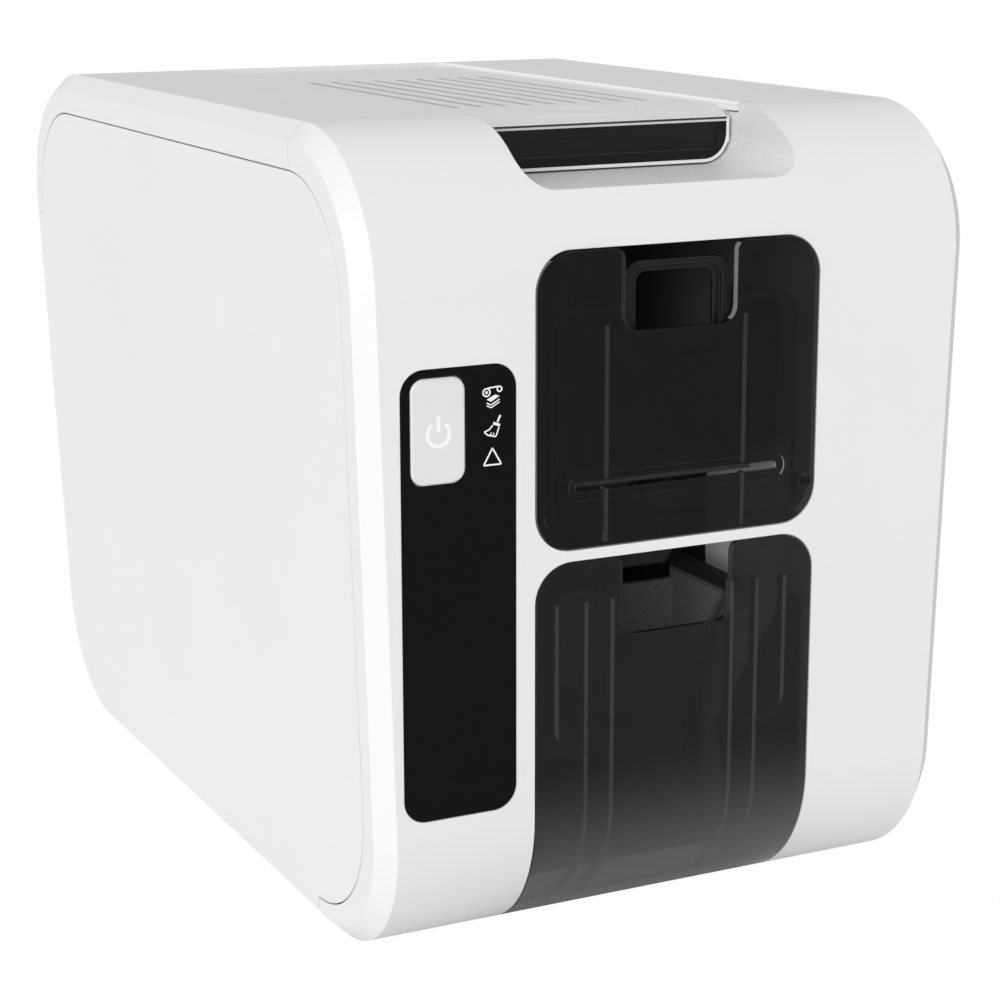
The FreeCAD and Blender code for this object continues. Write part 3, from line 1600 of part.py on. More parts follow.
def film_roll(y, z, radius):
    roll = rod_x(-film_half, film_half, y, z, radius)
    return roll.cut(rod_x(-body_half, body_half, y, z, spool_core_radius))


def tangent_point(y, z, radius, from_y, from_z, side):
    """Point where a line from the given point touches the circle, on the given side."""
    dy = from_y - y
    dz = from_z - z
    distance = math.hypot(dy, dz)
    angle = math.atan2(dz, dy) + side * math.acos(radius / distance)
    return (y + radius * math.cos(angle), z + radius * math.sin(angle))


def ribbon_film():
    """The film from one roll under the guide rods and the head to the other roll."""
    low = head_bottom() - head_bottom_gap / 2
    turn_height = ribbon_guide_height - ribbon_turn_drop
    front_rod, back_rod = guide_rod_places()
    front_turn = (front_rod - ribbon_turn_shift, turn_height)
    back_turn = (back_rod + ribbon_turn_shift, turn_height)
    start = tangent_point(take_up_y, take_up_height, take_up_film_radius + head_bottom_gap,
                          front_turn[0], front_turn[1], 1)
    end = tangent_point(supply_y, supply_height, supply_film_radius + head_bottom_gap,
                        back_turn[0], back_turn[1], -1)
    top = [start, front_turn, (platen_y - film_run_height, low),
           (platen_y + film_run_height, low), back_turn, end]
    bottom = [(y, z - film_thickness) for y, z in reversed(top)]
    return prism_x(top + bottom, -film_half, film_half)


# Electronics
def main_board():
    x0 = main_board_x - board_thickness / 2
    x1 = main_board_x + board_thickness / 2
    board = box(x0, x1, main_board_start, main_board_end, main_board_bottom, main_board_top)
    pieces = [board]
    for y, z in chip_places:
        pieces.append(box(x0 - chip_height, x0, y, y + chip_size, z, z + chip_size))
    for y, z in capacitor_places:
        pieces.append(rod_x(x0 - capacitor_height, x0, y, z, capacitor_radius))
    return join(pieces)


def board_posts():
    posts = []
    start = -plate_inner - plate_thickness
    end = main_board_x + board_thickness / 2
    for y in (main_board_start + standoff_inset, plate_back - standoff_inset):
        for z in (main_board_bottom + standoff_inset, main_board_top - standoff_inset):
            posts.append(rod_x(end, start, y, z, standoff_radius))
    return posts


def port_face(height):
    """Depth of the rear panel's outer face beside a port."""
    low = body_depth - rear_lean
    share = (height - foot_height - rear_bottom_radius)
    share /= body_height - rear_top_radius - foot_height - rear_bottom_radius
    return low + rear_lean * max(share, 0) - port_recess


def usb_port():
    back = port_face(usb_height - port_size / 2) - wall
    shell_box = port_box(usb_height, 0, back - port_length + wall, back + wall)
    hollow = port_box(usb_height, -port_wall, back - port_length + wall * 2, back + overrun)
    half = port_tongue / 2
    tongue = box(port_x() - half, port_x() + half, back - port_length + wall, back,
                 usb_height - port_tongue_height / 2, usb_height + port_tongue_height / 2)
    return join([shell_box.cut(hollow), tongue])


def power_inlet():
    back = port_face(power_inlet_height - port_size / 2) - wall * 2
    block = port_box(power_inlet_height, 0, back - port_length + wall * 2, back + wall)
    start = back - port_length + wall * 4
    bore = rod_y(start, back + overrun, port_x(), power_inlet_height, power_inlet_bore)
    pin = rod_y(start - wall / 2, back, port_x(), power_inlet_height, power_pin_radius)
    return join([block.cut(bore), pin])


# Fan
def fan_screw_places():
    reach = fan_size / 2 - fan_screw_inset
    return [(x, fan_height + z) for x in (-reach, reach) for z in (-reach, reach)]


def fan_housing():
    half = fan_size / 2
    front = fan_back - fan_depth
    frame = rounded_block_y(-half, half, fan_height - half, fan_height + half, fan_corner_radius,
                            front, fan_back)
    frame = frame.cut(rod_y(0, body_depth, 0, fan_height, fan_bore_radius))
    spokes = []
    spoke_back = front + fan_blade_thickness
    for index in range(fan_spokes):
        angle = 2 * math.pi * index / fan_spokes
        spoke = box(0, fan_bore_radius + fan_blade_gap, front, spoke_back,
                    -fan_blade_thickness, fan_blade_thickness)
        spoke.rotate(Vector(0, 0, 0), Vector(0, 1, 0), math.degrees(angle))
        spoke.translate(Vector(0, 0, fan_height))
        spokes.append(spoke)
    hub = rod_y(front, spoke_back, 0, fan_height, fan_hub_radius - fan_blade_gap)
    axle = rod_y(spoke_back, fan_back - fan_blade_thickness * 2, 0, fan_height,
                 motor_shaft_radius - pin_clearance)
    frame = join([frame, hub, axle] + spokes)
    holes = [rod_y(0, body_depth, x, z, fan_screw_radius) for x, z in fan_screw_places()]
    return frame.cut(holes)


def fan_rotor():
    front = fan_back - fan_depth + fan_blade_thickness + hidden_gap
    back = fan_back - fan_blade_thickness
    hub = rod_y(front, back, 0, fan_height, fan_hub_radius)
    blades = []
    reach = fan_bore_radius - fan_blade_gap
    middle = (front + back) / 2
    tilt_room = (back - front) * fan_blade_room_share
    for index in range(fan_blades):
        blade = box(0, reach, -tilt_room, tilt_room, -fan_blade_thickness / 2,
                    fan_blade_thickness / 2)
        blade.rotate(Vector(0, 0, 0), Vector(1, 0, 0), fan_blade_twist)
        angle = 2 * math.pi * index / fan_blades
        blade.rotate(Vector(0, 0, 0), Vector(0, 1, 0), math.degrees(angle))
        blade.translate(Vector(0, middle, fan_height))
        blades.append(blade)
    ring = rod_y(front, back, 0, fan_height, reach)
    rotor = join([hub] + blades).common(ring)
    axle_bore = rod_y(0, back - fan_blade_thickness, 0, fan_height, motor_shaft_radius)
    return rotor.cut(axle_bore)


# Screws
def case_screws():
    """Pan-head screws from below through the base and the flanges of the chassis plates."""
    screws = []
    for x, y in screw_points():
        head = rod_z(foot_height - screw_head_height, foot_height, x, y, screw_head_radius)
        recess = rod_z(0, foot_height - screw_head_height / 2, x, y, screw_radius)
        shank = rod_z(foot_height - screw_head_height / 2, foot_height + screw_length, x, y,
                      screw_radius)
        screws.append(join([head.cut(recess), shank]))
    return Part.makeCompound(screws)


# Rollers with their gears
def drive_roller(name, y):
    return join([drive_shaft(y), roller_gear(name)])


def upper_roller(y, radius):
    z = upper_nip + radius
    sleeve = tyre(y, z, radius, roller_half, upper_shaft_radius)
    return join([sleeve, upper_shaft(y, z)])


def take_up_spool():
    return join([spool(take_up_y, take_up_height, gear_outer), take_up_gear()])


# Every piece under its own name
def all_pieces():
    left_cover = left_side_cover()
    spool_end = plate_inner + plate_thickness
    return {
        "base_pan": base_pan(),
        "rubber_feet": rubber_feet(),
        "case_screws": case_screws(),
        "left_side_cover": left_cover,
        "right_side_cover": mirror_x(left_cover),
        "front_cover": front_cover(),
        "top_cover": top_cover(),
        "rear_panel": rear_panel(),
        "control_label": control_label(),
        "power_button": power_button(),
        "control_board": control_board(),
        "light_guides": light_guides(),
        "upper_door": upper_door(),
        "card_gate": card_gate(),
        "upper_door_pins": upper_door_pins(),
        "lower_door": lower_door(),
        "lower_door_pins": lower_door_pins(),
        "lid_shell": lid_shell(),
        "lid_grip": lid_grip(),
        "lid_hinge_pins": lid_hinge_pins(),
        "head_bracket": head_bracket(),
        "head_heat_sink": head_heat_sink(),
        "print_head": print_head(),
        "chassis_plate_left": left_chassis_plate(),
        "chassis_plate_right": right_chassis_plate(),
        "cross_bars": cross_bars(),
        "roller_bushes": roller_bushes(),
        "card_hopper": card_hopper(),
        "card_weight": card_weight(),
        "card_guide": card_guide(),
        "diverter_flap": diverter_flap(),
        "card_chute": card_chute(),
        "output_bin": output_bin(),
        "feed_shaft": drive_roller("feed", feed_y),
        "feed_tyre": tyre(feed_y, roller_height, roller_radius, feed_tyre_half, shaft_radius),
        "entry_shaft": drive_roller("entry", entry_y),
        "entry_tyre": tyre(entry_y, roller_height, roller_radius, roller_half, shaft_radius),
        "platen_shaft": drive_roller("platen", platen_y),
        "platen_tyre": tyre(platen_y, roller_height, roller_radius, roller_half, shaft_radius),
        "exit_shaft": drive_roller("exit", exit_y),
        "exit_tyre": tyre(exit_y, roller_height, roller_radius, roller_half, shaft_radius),
        "cleaning_roller": upper_roller(entry_y, cleaning_radius),
        "pinch_roller": upper_roller(exit_y, pinch_radius),
        "idler_gear_front": idler_gear("idler_entry"),
        "idler_gear_middle": idler_gear("idler_platen"),
        "idler_gear_rear": idler_gear("idler_exit"),
        "drive_pinion": drive_pinion(),
        "drive_motor": motor_can(motor_place(), motor_radius, motor_length, motor_ear_reach),
        "ribbon_pinion": ribbon_pinion(),
        "ribbon_motor": motor_can(ribbon_motor_place(), ribbon_motor_radius,
                                  ribbon_motor_length, ribbon_motor_ear_reach),
        "take_up_spool": take_up_spool(),
        "take_up_roll": film_roll(take_up_y, take_up_height, take_up_film_radius),
        "supply_spool": spool(supply_y, supply_height, spool_end),
        "supply_roll": film_roll(supply_y, supply_height, supply_film_radius),
        "ribbon_film": ribbon_film(),
        "main_board": main_board(),
        "usb_port": usb_port(),
        "power_inlet": power_inlet(),
        "fan_housing": fan_housing(),
        "fan_rotor": fan_rotor(),
    }


def export(name, shape):
    moved = shape.copy()
    moved.translate(Vector(0, -body_depth / 2, 0))
    moved.exportStep(os.path.join("parts", name + ".step"))


os.makedirs("parts", exist_ok=True)
for piece_name, piece_shape in all_pieces().items():
    export(piece_name, piece_shape)
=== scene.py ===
import json
import math
import bmesh
import bpy
from mathutils import Matrix, Vector


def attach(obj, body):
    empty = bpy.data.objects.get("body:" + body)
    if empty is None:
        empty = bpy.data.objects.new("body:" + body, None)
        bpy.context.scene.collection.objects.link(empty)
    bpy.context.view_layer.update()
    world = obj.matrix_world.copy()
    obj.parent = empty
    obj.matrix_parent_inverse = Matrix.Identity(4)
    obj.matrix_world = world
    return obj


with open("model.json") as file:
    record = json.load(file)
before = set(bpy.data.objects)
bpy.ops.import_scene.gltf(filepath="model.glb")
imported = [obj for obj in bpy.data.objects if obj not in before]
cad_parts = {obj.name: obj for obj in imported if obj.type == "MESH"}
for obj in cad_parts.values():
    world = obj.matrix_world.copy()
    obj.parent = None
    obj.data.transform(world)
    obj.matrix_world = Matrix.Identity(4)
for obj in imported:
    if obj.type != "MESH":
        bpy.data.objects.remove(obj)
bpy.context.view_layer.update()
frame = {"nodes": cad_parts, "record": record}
nodes = frame["nodes"]

# Lengths below are in millimetres until they are multiplied by MM. Depths are measured from the
# front face, which lies half the body's depth in front of the origin.
MM = 0.001
FRONT = -153.5


def place(x, y, z):
    return Vector((x * MM, (y + FRONT) * MM, z * MM))


# Materials
NOISE_LOW, NOISE_HIGH = 0.3, 0.7  # the range that a noise texture's values mostly keep to
EDGE_START, EDGE_FULL = 1.0, 0.85  # cosine between face and rounded normal
BEVEL_SAMPLES = 4
TROUGH_TURN = 0.3  # a face that looks forwards by more than this isn't in a trough
PIT_SCALE = 1600.0
# Faces within this turn get a painted glint on the smoked sheets
LEFT_LOW, LEFT_HIGH = -1.1, -0.6  # turn along X of the faces that look to the left
BUMP_RIPPLE = 0.01
SHADOW_SHARE = 0.28  # share of a smoked sheet's cover that lamps meet


def new_material(name):
    material = bpy.data.materials.new(name)
    material.use_nodes = True
    tree = material.node_tree
    tree.nodes.clear()
    output = tree.nodes.new("ShaderNodeOutputMaterial")
    shader = tree.nodes.new("ShaderNodeBsdfPrincipled")
    tree.links.new(shader.outputs["BSDF"], output.inputs["Surface"])
    return material, tree, shader


def add(tree, kind, **values):
    node = tree.nodes.new(kind)
    for key, value in values.items():
        setattr(node, key, value)
    return node


def noise(tree, coordinates, scale, detail=2.0, roughness=0.5):
    node = add(tree, "ShaderNodeTexNoise")
    node.inputs["Scale"].default_value = scale
    node.inputs["Detail"].default_value = detail
    node.inputs["Roughness"].default_value = roughness
    tree.links.new(coordinates, node.inputs["Vector"])
    return node.outputs["Fac"]


def ramp(tree, value, low, high, low_colour, high_colour):
    node = add(tree, "ShaderNodeValToRGB")
    node.color_ramp.elements[0].position = low
    node.color_ramp.elements[1].position = high
    node.color_ramp.elements[0].color = (*low_colour, 1)
    node.color_ramp.elements[1].color = (*high_colour, 1)
    tree.links.new(value, node.inputs["Fac"])
    return node.outputs["Color"]


def spread(tree, value, low, high):
    node = add(tree, "ShaderNodeMapRange")
    node.inputs["From Min"].default_value = NOISE_LOW
    node.inputs["From Max"].default_value = NOISE_HIGH
    node.inputs["To Min"].default_value = low
    node.inputs["To Max"].default_value = high
    tree.links.new(value, node.inputs["Value"])
    return node.outputs["Result"]


def soft_edge(tree, radius):
    node = add(tree, "ShaderNodeBevel", samples=BEVEL_SAMPLES)
    node.inputs["Radius"].default_value = radius * MM
    return node.outputs["Normal"]


def edge_mask(tree, rounded):
    """One on edges that the rounding turns, nought on flat areas."""
    geometry = add(tree, "ShaderNodeNewGeometry")
    dot = add(tree, "ShaderNodeVectorMath", operation="DOT_PRODUCT")
    tree.links.new(geometry.outputs["Normal"], dot.inputs[0])
    tree.links.new(rounded, dot.inputs[1])
    mask = add(tree, "ShaderNodeMapRange")
    mask.inputs["From Min"].default_value = EDGE_START
    mask.inputs["From Max"].default_value = EDGE_FULL
    tree.links.new(dot.outputs["Value"], mask.inputs["Value"])
    return mask.outputs["Result"]


def multiply(tree, first, second):
    product = add(tree, "ShaderNodeMath", operation="MULTIPLY")
    tree.links.new(first, product.inputs[0])
    tree.links.new(second, product.inputs[1])
    return product.outputs["Value"]


def within(tree, value, low, high):
    """One where the value lies between low and high, nought elsewhere."""
    near = add(tree, "ShaderNodeMath", operation="COMPARE")
    tree.links.new(value, near.inputs[0])
    near.inputs[1].default_value = (low + high) / 2
    near.inputs[2].default_value = (high - low) / 2
    return near.outputs["Value"]


def face_turn(tree, axis):
    """How far the face looks along one axis, from -1 to 1."""
    split = add(tree, "ShaderNodeSeparateXYZ")
    tree.links.new(add(tree, "ShaderNodeNewGeometry").outputs["True Normal"],
                   split.inputs["Vector"])
    return split.outputs[axis]


def in_zone(tree, where, low, high):
    """One inside the box between two corners given in millimetres, nought outside."""
    split = add(tree, "ShaderNodeSeparateXYZ")
    tree.links.new(where, split.inputs["Vector"])
    start, end = place(*low), place(*high)
    inside = [within(tree, split.outputs[axis], start[index], end[index])
              for index, axis in enumerate("XYZ")]
    return multiply(tree, multiply(tree, inside[0], inside[1]), inside[2])


def moulded(name, colour, roughness, grain, depth, tone=0.03, edge=0.25, wear=0.0, coat=0.0,
            specular=0.5, zones=()):
    """Moulded plastic: fine grain, slight tone change, softened and slightly worn edges.

    Each zone is (low corner, high corner, colour, pits, trough): a stretch of another tone with a
    spark-eroded grain, in a trough only where the face doesn't look forwards. Some zones carry
    painted shade, a painted shadow line and painted highlights rather than a tone of the plastic.
    """
    material, tree, shader = new_material(name)
    where = add(tree, "ShaderNodeTexCoord").outputs["Object"]
    fine = noise(tree, where, 1000.0 / grain, 3.0, 0.6)
    broad = noise(tree, where, 14.0, 3.0, 0.5)
    rounded = soft_edge(tree, edge)
    bump = add(tree, "ShaderNodeBump")
    bump.inputs["Strength"].default_value = 1.0
    bump.inputs["Distance"].default_value = depth * MM
    tree.links.new(fine, bump.inputs["Height"])
    tree.links.new(rounded, bump.inputs["Normal"])
    tree.links.new(bump.outputs["Normal"], shader.inputs["Normal"])
    dark = tuple(c * (1 - tone) for c in colour)
    light = tuple(min(1.0, c * (1 + tone)) for c in colour)
    base = ramp(tree, broad, 0.35, 0.65, dark, light)
    mix = add(tree, "ShaderNodeMix", data_type="RGBA")
    worn = tuple(min(1.0, c + wear) for c in colour)
    mix.inputs["B"].default_value = (*worn, 1)
    tree.links.new(edge_mask(tree, rounded), mix.inputs["Factor"])
    tree.links.new(base, mix.inputs["A"])
    painted = mix.outputs["Result"]
    for low, high, shade, pits, trough in zones:
        inside = in_zone(tree, where, low, high)
        if trough:
            flat = within(tree, face_turn(tree, "Y"), -TROUGH_TURN, TROUGH_TURN)
            inside = multiply(tree, inside, flat)
        coarse = noise(tree, where, PIT_SCALE, 1.0, 0.5)
        zone_mix = add(tree, "ShaderNodeMix", data_type="RGBA")
        zone_colour = ramp(tree, coarse, 0.35, 0.65, tuple(c * (1 - pits) for c in shade),
                       tuple(min(1.0, c * (1 + pits)) for c in shade))
        tree.links.new(inside, zone_mix.inputs["Factor"])
        tree.links.new(painted, zone_mix.inputs["A"])
        tree.links.new(zone_colour, zone_mix.inputs["B"])
        painted = zone_mix.outputs["Result"]
    tree.links.new(painted, shader.inputs["Base Color"])
    tree.links.new(spread(tree, fine, roughness - 0.05, roughness + 0.05),
                   shader.inputs["Roughness"])
    shader.inputs["Specular IOR Level"].default_value = specular
    if coat:
        shader.inputs["Coat Weight"].default_value = coat
        shader.inputs["Coat Roughness"].default_value = 0.04
    return material


def metal(name, colour, roughness, stretch=(1, 1, 1), depth=0.01, tone=0.08, edge=0.2):
    """Metal with drawn or brushed marks along the axis with the smallest stretch."""
    material, tree, shader = new_material(name)
    where = add(tree, "ShaderNodeTexCoord").outputs["Object"]
    mapping = add(tree, "ShaderNodeMapping")
    mapping.inputs["Scale"].default_value = stretch
    tree.links.new(where, mapping.inputs["Vector"])
    marks = noise(tree, mapping.outputs["Vector"], 900.0, 4.0, 0.7)
    broad = noise(tree, where, 40.0, 3.0)
    rounded = soft_edge(tree, edge)
    bump = add(tree, "ShaderNodeBump")
    bump.inputs["Distance"].default_value = depth * MM
    tree.links.new(marks, bump.inputs["Height"])
    tree.links.new(rounded, bump.inputs["Normal"])
    tree.links.new(bump.outputs["Normal"], shader.inputs["Normal"])
    dark = tuple(c * (1 - tone) for c in colour)
    light = tuple(min(1.0, c * (1 + tone)) for c in colour)
    tree.links.new(ramp(tree, broad, 0.3, 0.7, dark, light), shader.inputs["Base Color"])
    tree.links.new(spread(tree, marks, roughness - 0.08, roughness + 0.1),
                   shader.inputs["Roughness"])
    shader.inputs["Metallic"].default_value = 1.0
    return material


def smoked(name, colour, cover, roughness=0.12, floor_reflection=None, glint=(0.3, 0.3, 0.3)):
    """Tinted see-through moulding: faint ripple, fine scratches and lighter edges, which are a
    painted highlight.

    Cover is how much one surface hides. The argument after roughness is (height of the start,
    height of the end, colour, growth of the cover) of a paler tint that grows downwards, a painted
    reflection of the floor. Glint is a painted highlight: the tone of edges that look to the left,
    where the sheet gathers the light.
    """
    material, tree, shader = new_material(name)
    where = add(tree, "ShaderNodeTexCoord").outputs["Object"]
    ripple = noise(tree, where, 60.0, 2.0)
    fine = noise(tree, where, 2500.0, 2.0)
    rounded = soft_edge(tree, 0.4)
    bump = add(tree, "ShaderNodeBump")
    bump.inputs["Distance"].default_value = BUMP_RIPPLE * MM
    tree.links.new(ripple, bump.inputs["Height"])
    tree.links.new(rounded, bump.inputs["Normal"])
    tree.links.new(bump.outputs["Normal"], shader.inputs["Normal"])
    dark = tuple(c * 0.85 for c in colour)
    tint = ramp(tree, ripple, 0.35, 0.65, dark, colour)
    # A paler tint towards the bottom: a painted reflection of the floor
    if floor_reflection:
        start, end, pale, growth = floor_reflection
        split = add(tree, "ShaderNodeSeparateXYZ")
        tree.links.new(where, split.inputs["Vector"])
        fall = add(tree, "ShaderNodeMapRange", interpolation_type="SMOOTHSTEP")
        fall.inputs["From Min"].default_value = start * MM
        fall.inputs["From Max"].default_value = end * MM
        tree.links.new(split.outputs["Z"], fall.inputs["Value"])
        paler = add(tree, "ShaderNodeMix", data_type="RGBA")
        paler.inputs["B"].default_value = (*pale, 1)
        tree.links.new(fall.outputs["Result"], paler.inputs["Factor"])
        tree.links.new(tint, paler.inputs["A"])
        tint = paler.outputs["Result"]
    # Lighter edges: a painted highlight
    edged = add(tree, "ShaderNodeMix", data_type="RGBA")
    edged.inputs["B"].default_value = (*(min(1.0, c + 0.05) for c in colour), 1)
    tree.links.new(edge_mask(tree, rounded), edged.inputs["Factor"])
    tree.links.new(tint, edged.inputs["A"])
    # Edges that look to the left take the glint colour: a painted highlight
    lit = within(tree, face_turn(tree, "X"), LEFT_LOW, LEFT_HIGH)
    painted_glint = add(tree, "ShaderNodeMix", data_type="RGBA")
    painted_glint.inputs["B"].default_value = (*glint, 1)
    tree.links.new(lit, painted_glint.inputs["Factor"])
    tree.links.new(edged.outputs["Result"], painted_glint.inputs["A"])
    tree.links.new(painted_glint.outputs["Result"], shader.inputs["Base Color"])
    tree.links.new(spread(tree, fine, roughness * 0.6, roughness * 1.6),
                   shader.inputs["Roughness"])
    shader.inputs["Specular IOR Level"].default_value = 0.2
    hidden = add(tree, "ShaderNodeMapRange")
    hidden.inputs["To Min"].default_value = cover
    hidden.inputs["To Max"].default_value = cover * SHADOW_SHARE
    tree.links.new(add(tree, "ShaderNodeLightPath").outputs["Is Shadow Ray"],
                   hidden.inputs["Value"])
    alpha = hidden.outputs["Result"]
    # The cover grows towards the bottom along with the painted reflection of the floor
    if floor_reflection:
        denser = add(tree, "ShaderNodeMapRange")
        denser.inputs["From Min"].default_value = start * MM
        denser.inputs["From Max"].default_value = end * MM
        denser.inputs["To Min"].default_value = 1.0
        denser.inputs["To Max"].default_value = growth
        tree.links.new(split.outputs["Z"], denser.inputs["Value"])
        alpha = multiply(tree, alpha, denser.outputs["Result"])
    tree.links.new(alpha, shader.inputs["Alpha"])
    return material


def glow(name, colour, strength):
    """Printed symbol: white ink with a fine screen grain and a faint painted glow."""
    material, tree, shader = new_material(name)
    where = add(tree, "ShaderNodeTexCoord").outputs["Object"]
    fine = noise(tree, where, 3000.0, 1.0)
    dark = tuple(c * 0.96 for c in colour)
    tree.links.new(ramp(tree, fine, 0.4, 0.6, dark, colour), shader.inputs["Base Color"])
    shader.inputs["Roughness"].default_value = 0.5
    shader.inputs["Emission Color"].default_value = (*colour, 1)
    shader.inputs["Emission Strength"].default_value = strength
    return material


WHITE = (0.83, 0.83, 0.83)
looks = {
    "white_cover": moulded("white_cover", WHITE, 0.42, 0.5, 0.006, 0.008, 0.35, 0.04),
    "front_white": moulded("front_white", WHITE, 0.42, 0.5, 0.006, 0.008, 0.35, 0.04,
                           zones=[((-45.2, 1.0, 223.6), (45.2, 60.0, 250.0), (0.74, 0.74, 0.74),
                                   0.09, True)]),
    "lid_white": moulded("lid_white", WHITE, 0.42, 0.5, 0.006, 0.008, 0.35, 0.04,
                         zones=[((-43.2, 47.0, 237.6), (43.2, 57.9, 250.0), (0.74, 0.74, 0.74),
                                 0.06, False),
                                # A painted shadow line along the gap between the lid's nose and
                                # the grip
                                ((-42.6, 46.0, 237.15), (42.6, 47.9, 237.75), (0.02, 0.02, 0.02),
                                 0.05, False),
                                # Painted shade in the louvre grooves
                                ((-34.0, 76.0, 239.5), (36.0, 198.0, 240.84), (0.42, 0.42, 0.42),
                                 0.02, False),
                                # A painted highlight line along the edge of the thumb dish
                                ((-19.0, 53.0, 237.8), (9.0, 53.6, 250.0), (0.9, 0.9, 0.9),
                                 0.0, False)]),
    "top_white": moulded("top_white", WHITE, 0.42, 0.5, 0.006, 0.008, 0.35, 0.04,
                         # Painted highlights along the two bevels beside the lid
                         zones=[((-47.0, 46.0, 239.0), (-45.2, 258.5, 241.97), (1.0, 1.0, 1.0),
                                 0.01, False),
                                ((45.2, 46.0, 239.0), (47.0, 258.5, 241.97), (1.0, 1.0, 1.0),
                                 0.01, False)]),
    "rear_cover": moulded("rear_cover", (0.8, 0.8, 0.8), 0.5, 0.6, 0.012, 0.015, 0.35, 0.03),
    "black_gloss": moulded("black_gloss", (0.004, 0.004, 0.0045), 0.4, 0.4, 0.003, 0.05, 0.25,
                           0.02, specular=0.08),
    "grip_gloss": moulded("grip_gloss", (0.005, 0.005, 0.006), 0.12, 0.8, 0.002, 0.05, 0.3, 0.05,
                          coat=0.15, specular=0.15,
                          zones=[((-42.6, 47.0, 236.5), (42.6, 50.0, 237.2), (0.6, 0.6, 0.6),
                                  0.02, False)]),
    "button_plastic": moulded("button_plastic", (0.77, 0.77, 0.77), 0.3, 0.5, 0.003, 0.01, 0.5,
                              0.08),
    # Edges of the upper door that look to the left get a painted glint
    "smoked_plastic": smoked("smoked_plastic", (0.0035, 0.0035, 0.0037), 0.8),
    # The lower door turns paler towards the bottom, a painted reflection of the floor, and its
    # edges that look to the left get a dim painted glint
    "smoked_lower": smoked("smoked_lower", (0.011, 0.011, 0.0112), 0.78,
                           floor_reflection=(60.0, 5.0, (0.14, 0.14, 0.14), 1.18),
                           glint=(0.06, 0.06, 0.06)),
    "frame_black": moulded("frame_black", (0.008, 0.008, 0.009), 0.35, 0.5, 0.01, 0.1, 0.4, 0.05,
                           specular=0.2),
    "bin_grey": moulded("bin_grey", (0.1, 0.1, 0.102), 0.6, 0.9, 0.06, 0.12, 0.4, 0.03,
                        specular=0.2,
                        zones=[((-33.0, 20.0, 10.0), (33.0, 60.0, 96.5), (0.15, 0.15, 0.15), 0.25,
                                False),
                               ((-36.0, 20.0, 97.8), (36.0, 63.0, 102.0), (0.02, 0.02, 0.02), 0.05,
                                False)]),
    "hopper_grey": moulded("hopper_grey", (0.09, 0.09, 0.09), 0.5, 0.7, 0.03, 0.1, 0.4, 0.03,
                           specular=0.2),
    # Light grey strips behind the smoked sheets: painted highlights
    "rib_highlight": moulded("rib_highlight", (0.33, 0.33, 0.33), 0.5, 0.6, 0.01, 0.05, 0.2, specular=0.2),
    "frame_highlight": moulded("frame_highlight", (0.22, 0.22, 0.22), 0.5, 0.6, 0.01, 0.05, 0.2,
                          specular=0.2),
    "guide_black": moulded("guide_black", (0.04, 0.04, 0.042), 0.45, 0.6, 0.02, 0.1, 0.3, 0.04),
    "rubber_foot": moulded("rubber_foot", (0.03, 0.03, 0.03), 0.8, 0.5, 0.05, 0.15, 0.3, 0.02),
    "roller_rubber": moulded("roller_rubber", (0.06, 0.06, 0.065), 0.7, 0.3, 0.03, 0.1, 0.3, 0.02),
    "roller_core": moulded("roller_core", (0.6, 0.6, 0.57), 0.35, 0.6, 0.006, 0.04, 0.2, 0.05),
    "sticky_roller": moulded("sticky_roller", (0.15, 0.3, 0.5), 0.25, 0.5, 0.004, 0.06, 0.3, 0.05,
                             coat=0.4),
    "pinch_steel": metal("pinch_steel", (0.6, 0.6, 0.61), 0.22, (0.05, 1, 1)),
    "plate_steel": metal("plate_steel", (0.55, 0.56, 0.57), 0.38, (1, 0.06, 1), 0.008, 0.06),
    "bush_plastic": moulded("bush_plastic", (0.62, 0.56, 0.38), 0.4, 0.5, 0.01, 0.06),
    "sink_aluminium": metal("sink_aluminium", (0.72, 0.72, 0.73), 0.3, (1, 1, 0.05)),
    "head_ceramic": moulded("head_ceramic", (0.3, 0.27, 0.2), 0.15, 0.4, 0.003, 0.05, coat=0.5),
    "motor_can": metal("motor_can", (0.45, 0.45, 0.46), 0.3, (0.1, 1, 1)),
    "pinion_brass": metal("pinion_brass", (0.8, 0.6, 0.28), 0.25),
    "spool_plastic": moulded("spool_plastic", (0.55, 0.55, 0.53), 0.4, 0.6, 0.008, 0.04),
    "ribbon_dark": moulded("ribbon_dark", (0.02, 0.015, 0.03), 0.2, 2.5, 0.02, 0.3, coat=0.3),
    "board_green": moulded("board_green", (0.02, 0.13, 0.06), 0.35, 3.0, 0.03, 0.35, 0.15, 0.1),
    # Its edges that look to the left get the default painted glint
    "clear_guide": smoked("clear_guide", (0.75, 0.78, 0.8), 0.35, 0.08),
    "port_steel": metal("port_steel", (0.7, 0.7, 0.71), 0.2),
    "symbol_white": glow("symbol_white", (0.9, 0.9, 0.9), 0.08),
}
# Nodes that don't look like the rest of their material slot
own_look = {
    "top_cover": "top_white",
    "front_cover": "front_white",
    "lid_shell": "lid_white",
    "lid_grip": "grip_gloss",
    "card_hopper": "hopper_grey",
    "card_chute": "hopper_grey",
    "lower_door": "smoked_lower",
}
slot_of = {part["node"]: part["material_slot"] for part in frame["record"]["subparts"]}
for name, thing in nodes.items():
    look = own_look.get(name, slot_of[name])
    thing.data.materials.clear()
    thing.data.materials.append(looks[look])


# Pieces made here
def mesh_piece(name, build, material, body):
    mesh = bpy.data.meshes.new(name)
    shape = bmesh.new()
    build(shape)
    bmesh.ops.recalc_face_normals(shape, faces=shape.faces)
    shape.to_mesh(mesh)
    shape.free()
    piece = bpy.data.objects.new(name, mesh)
    bpy.context.scene.collection.objects.link(piece)
    mesh.materials.append(looks[material])
    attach(piece, body)
    return piece


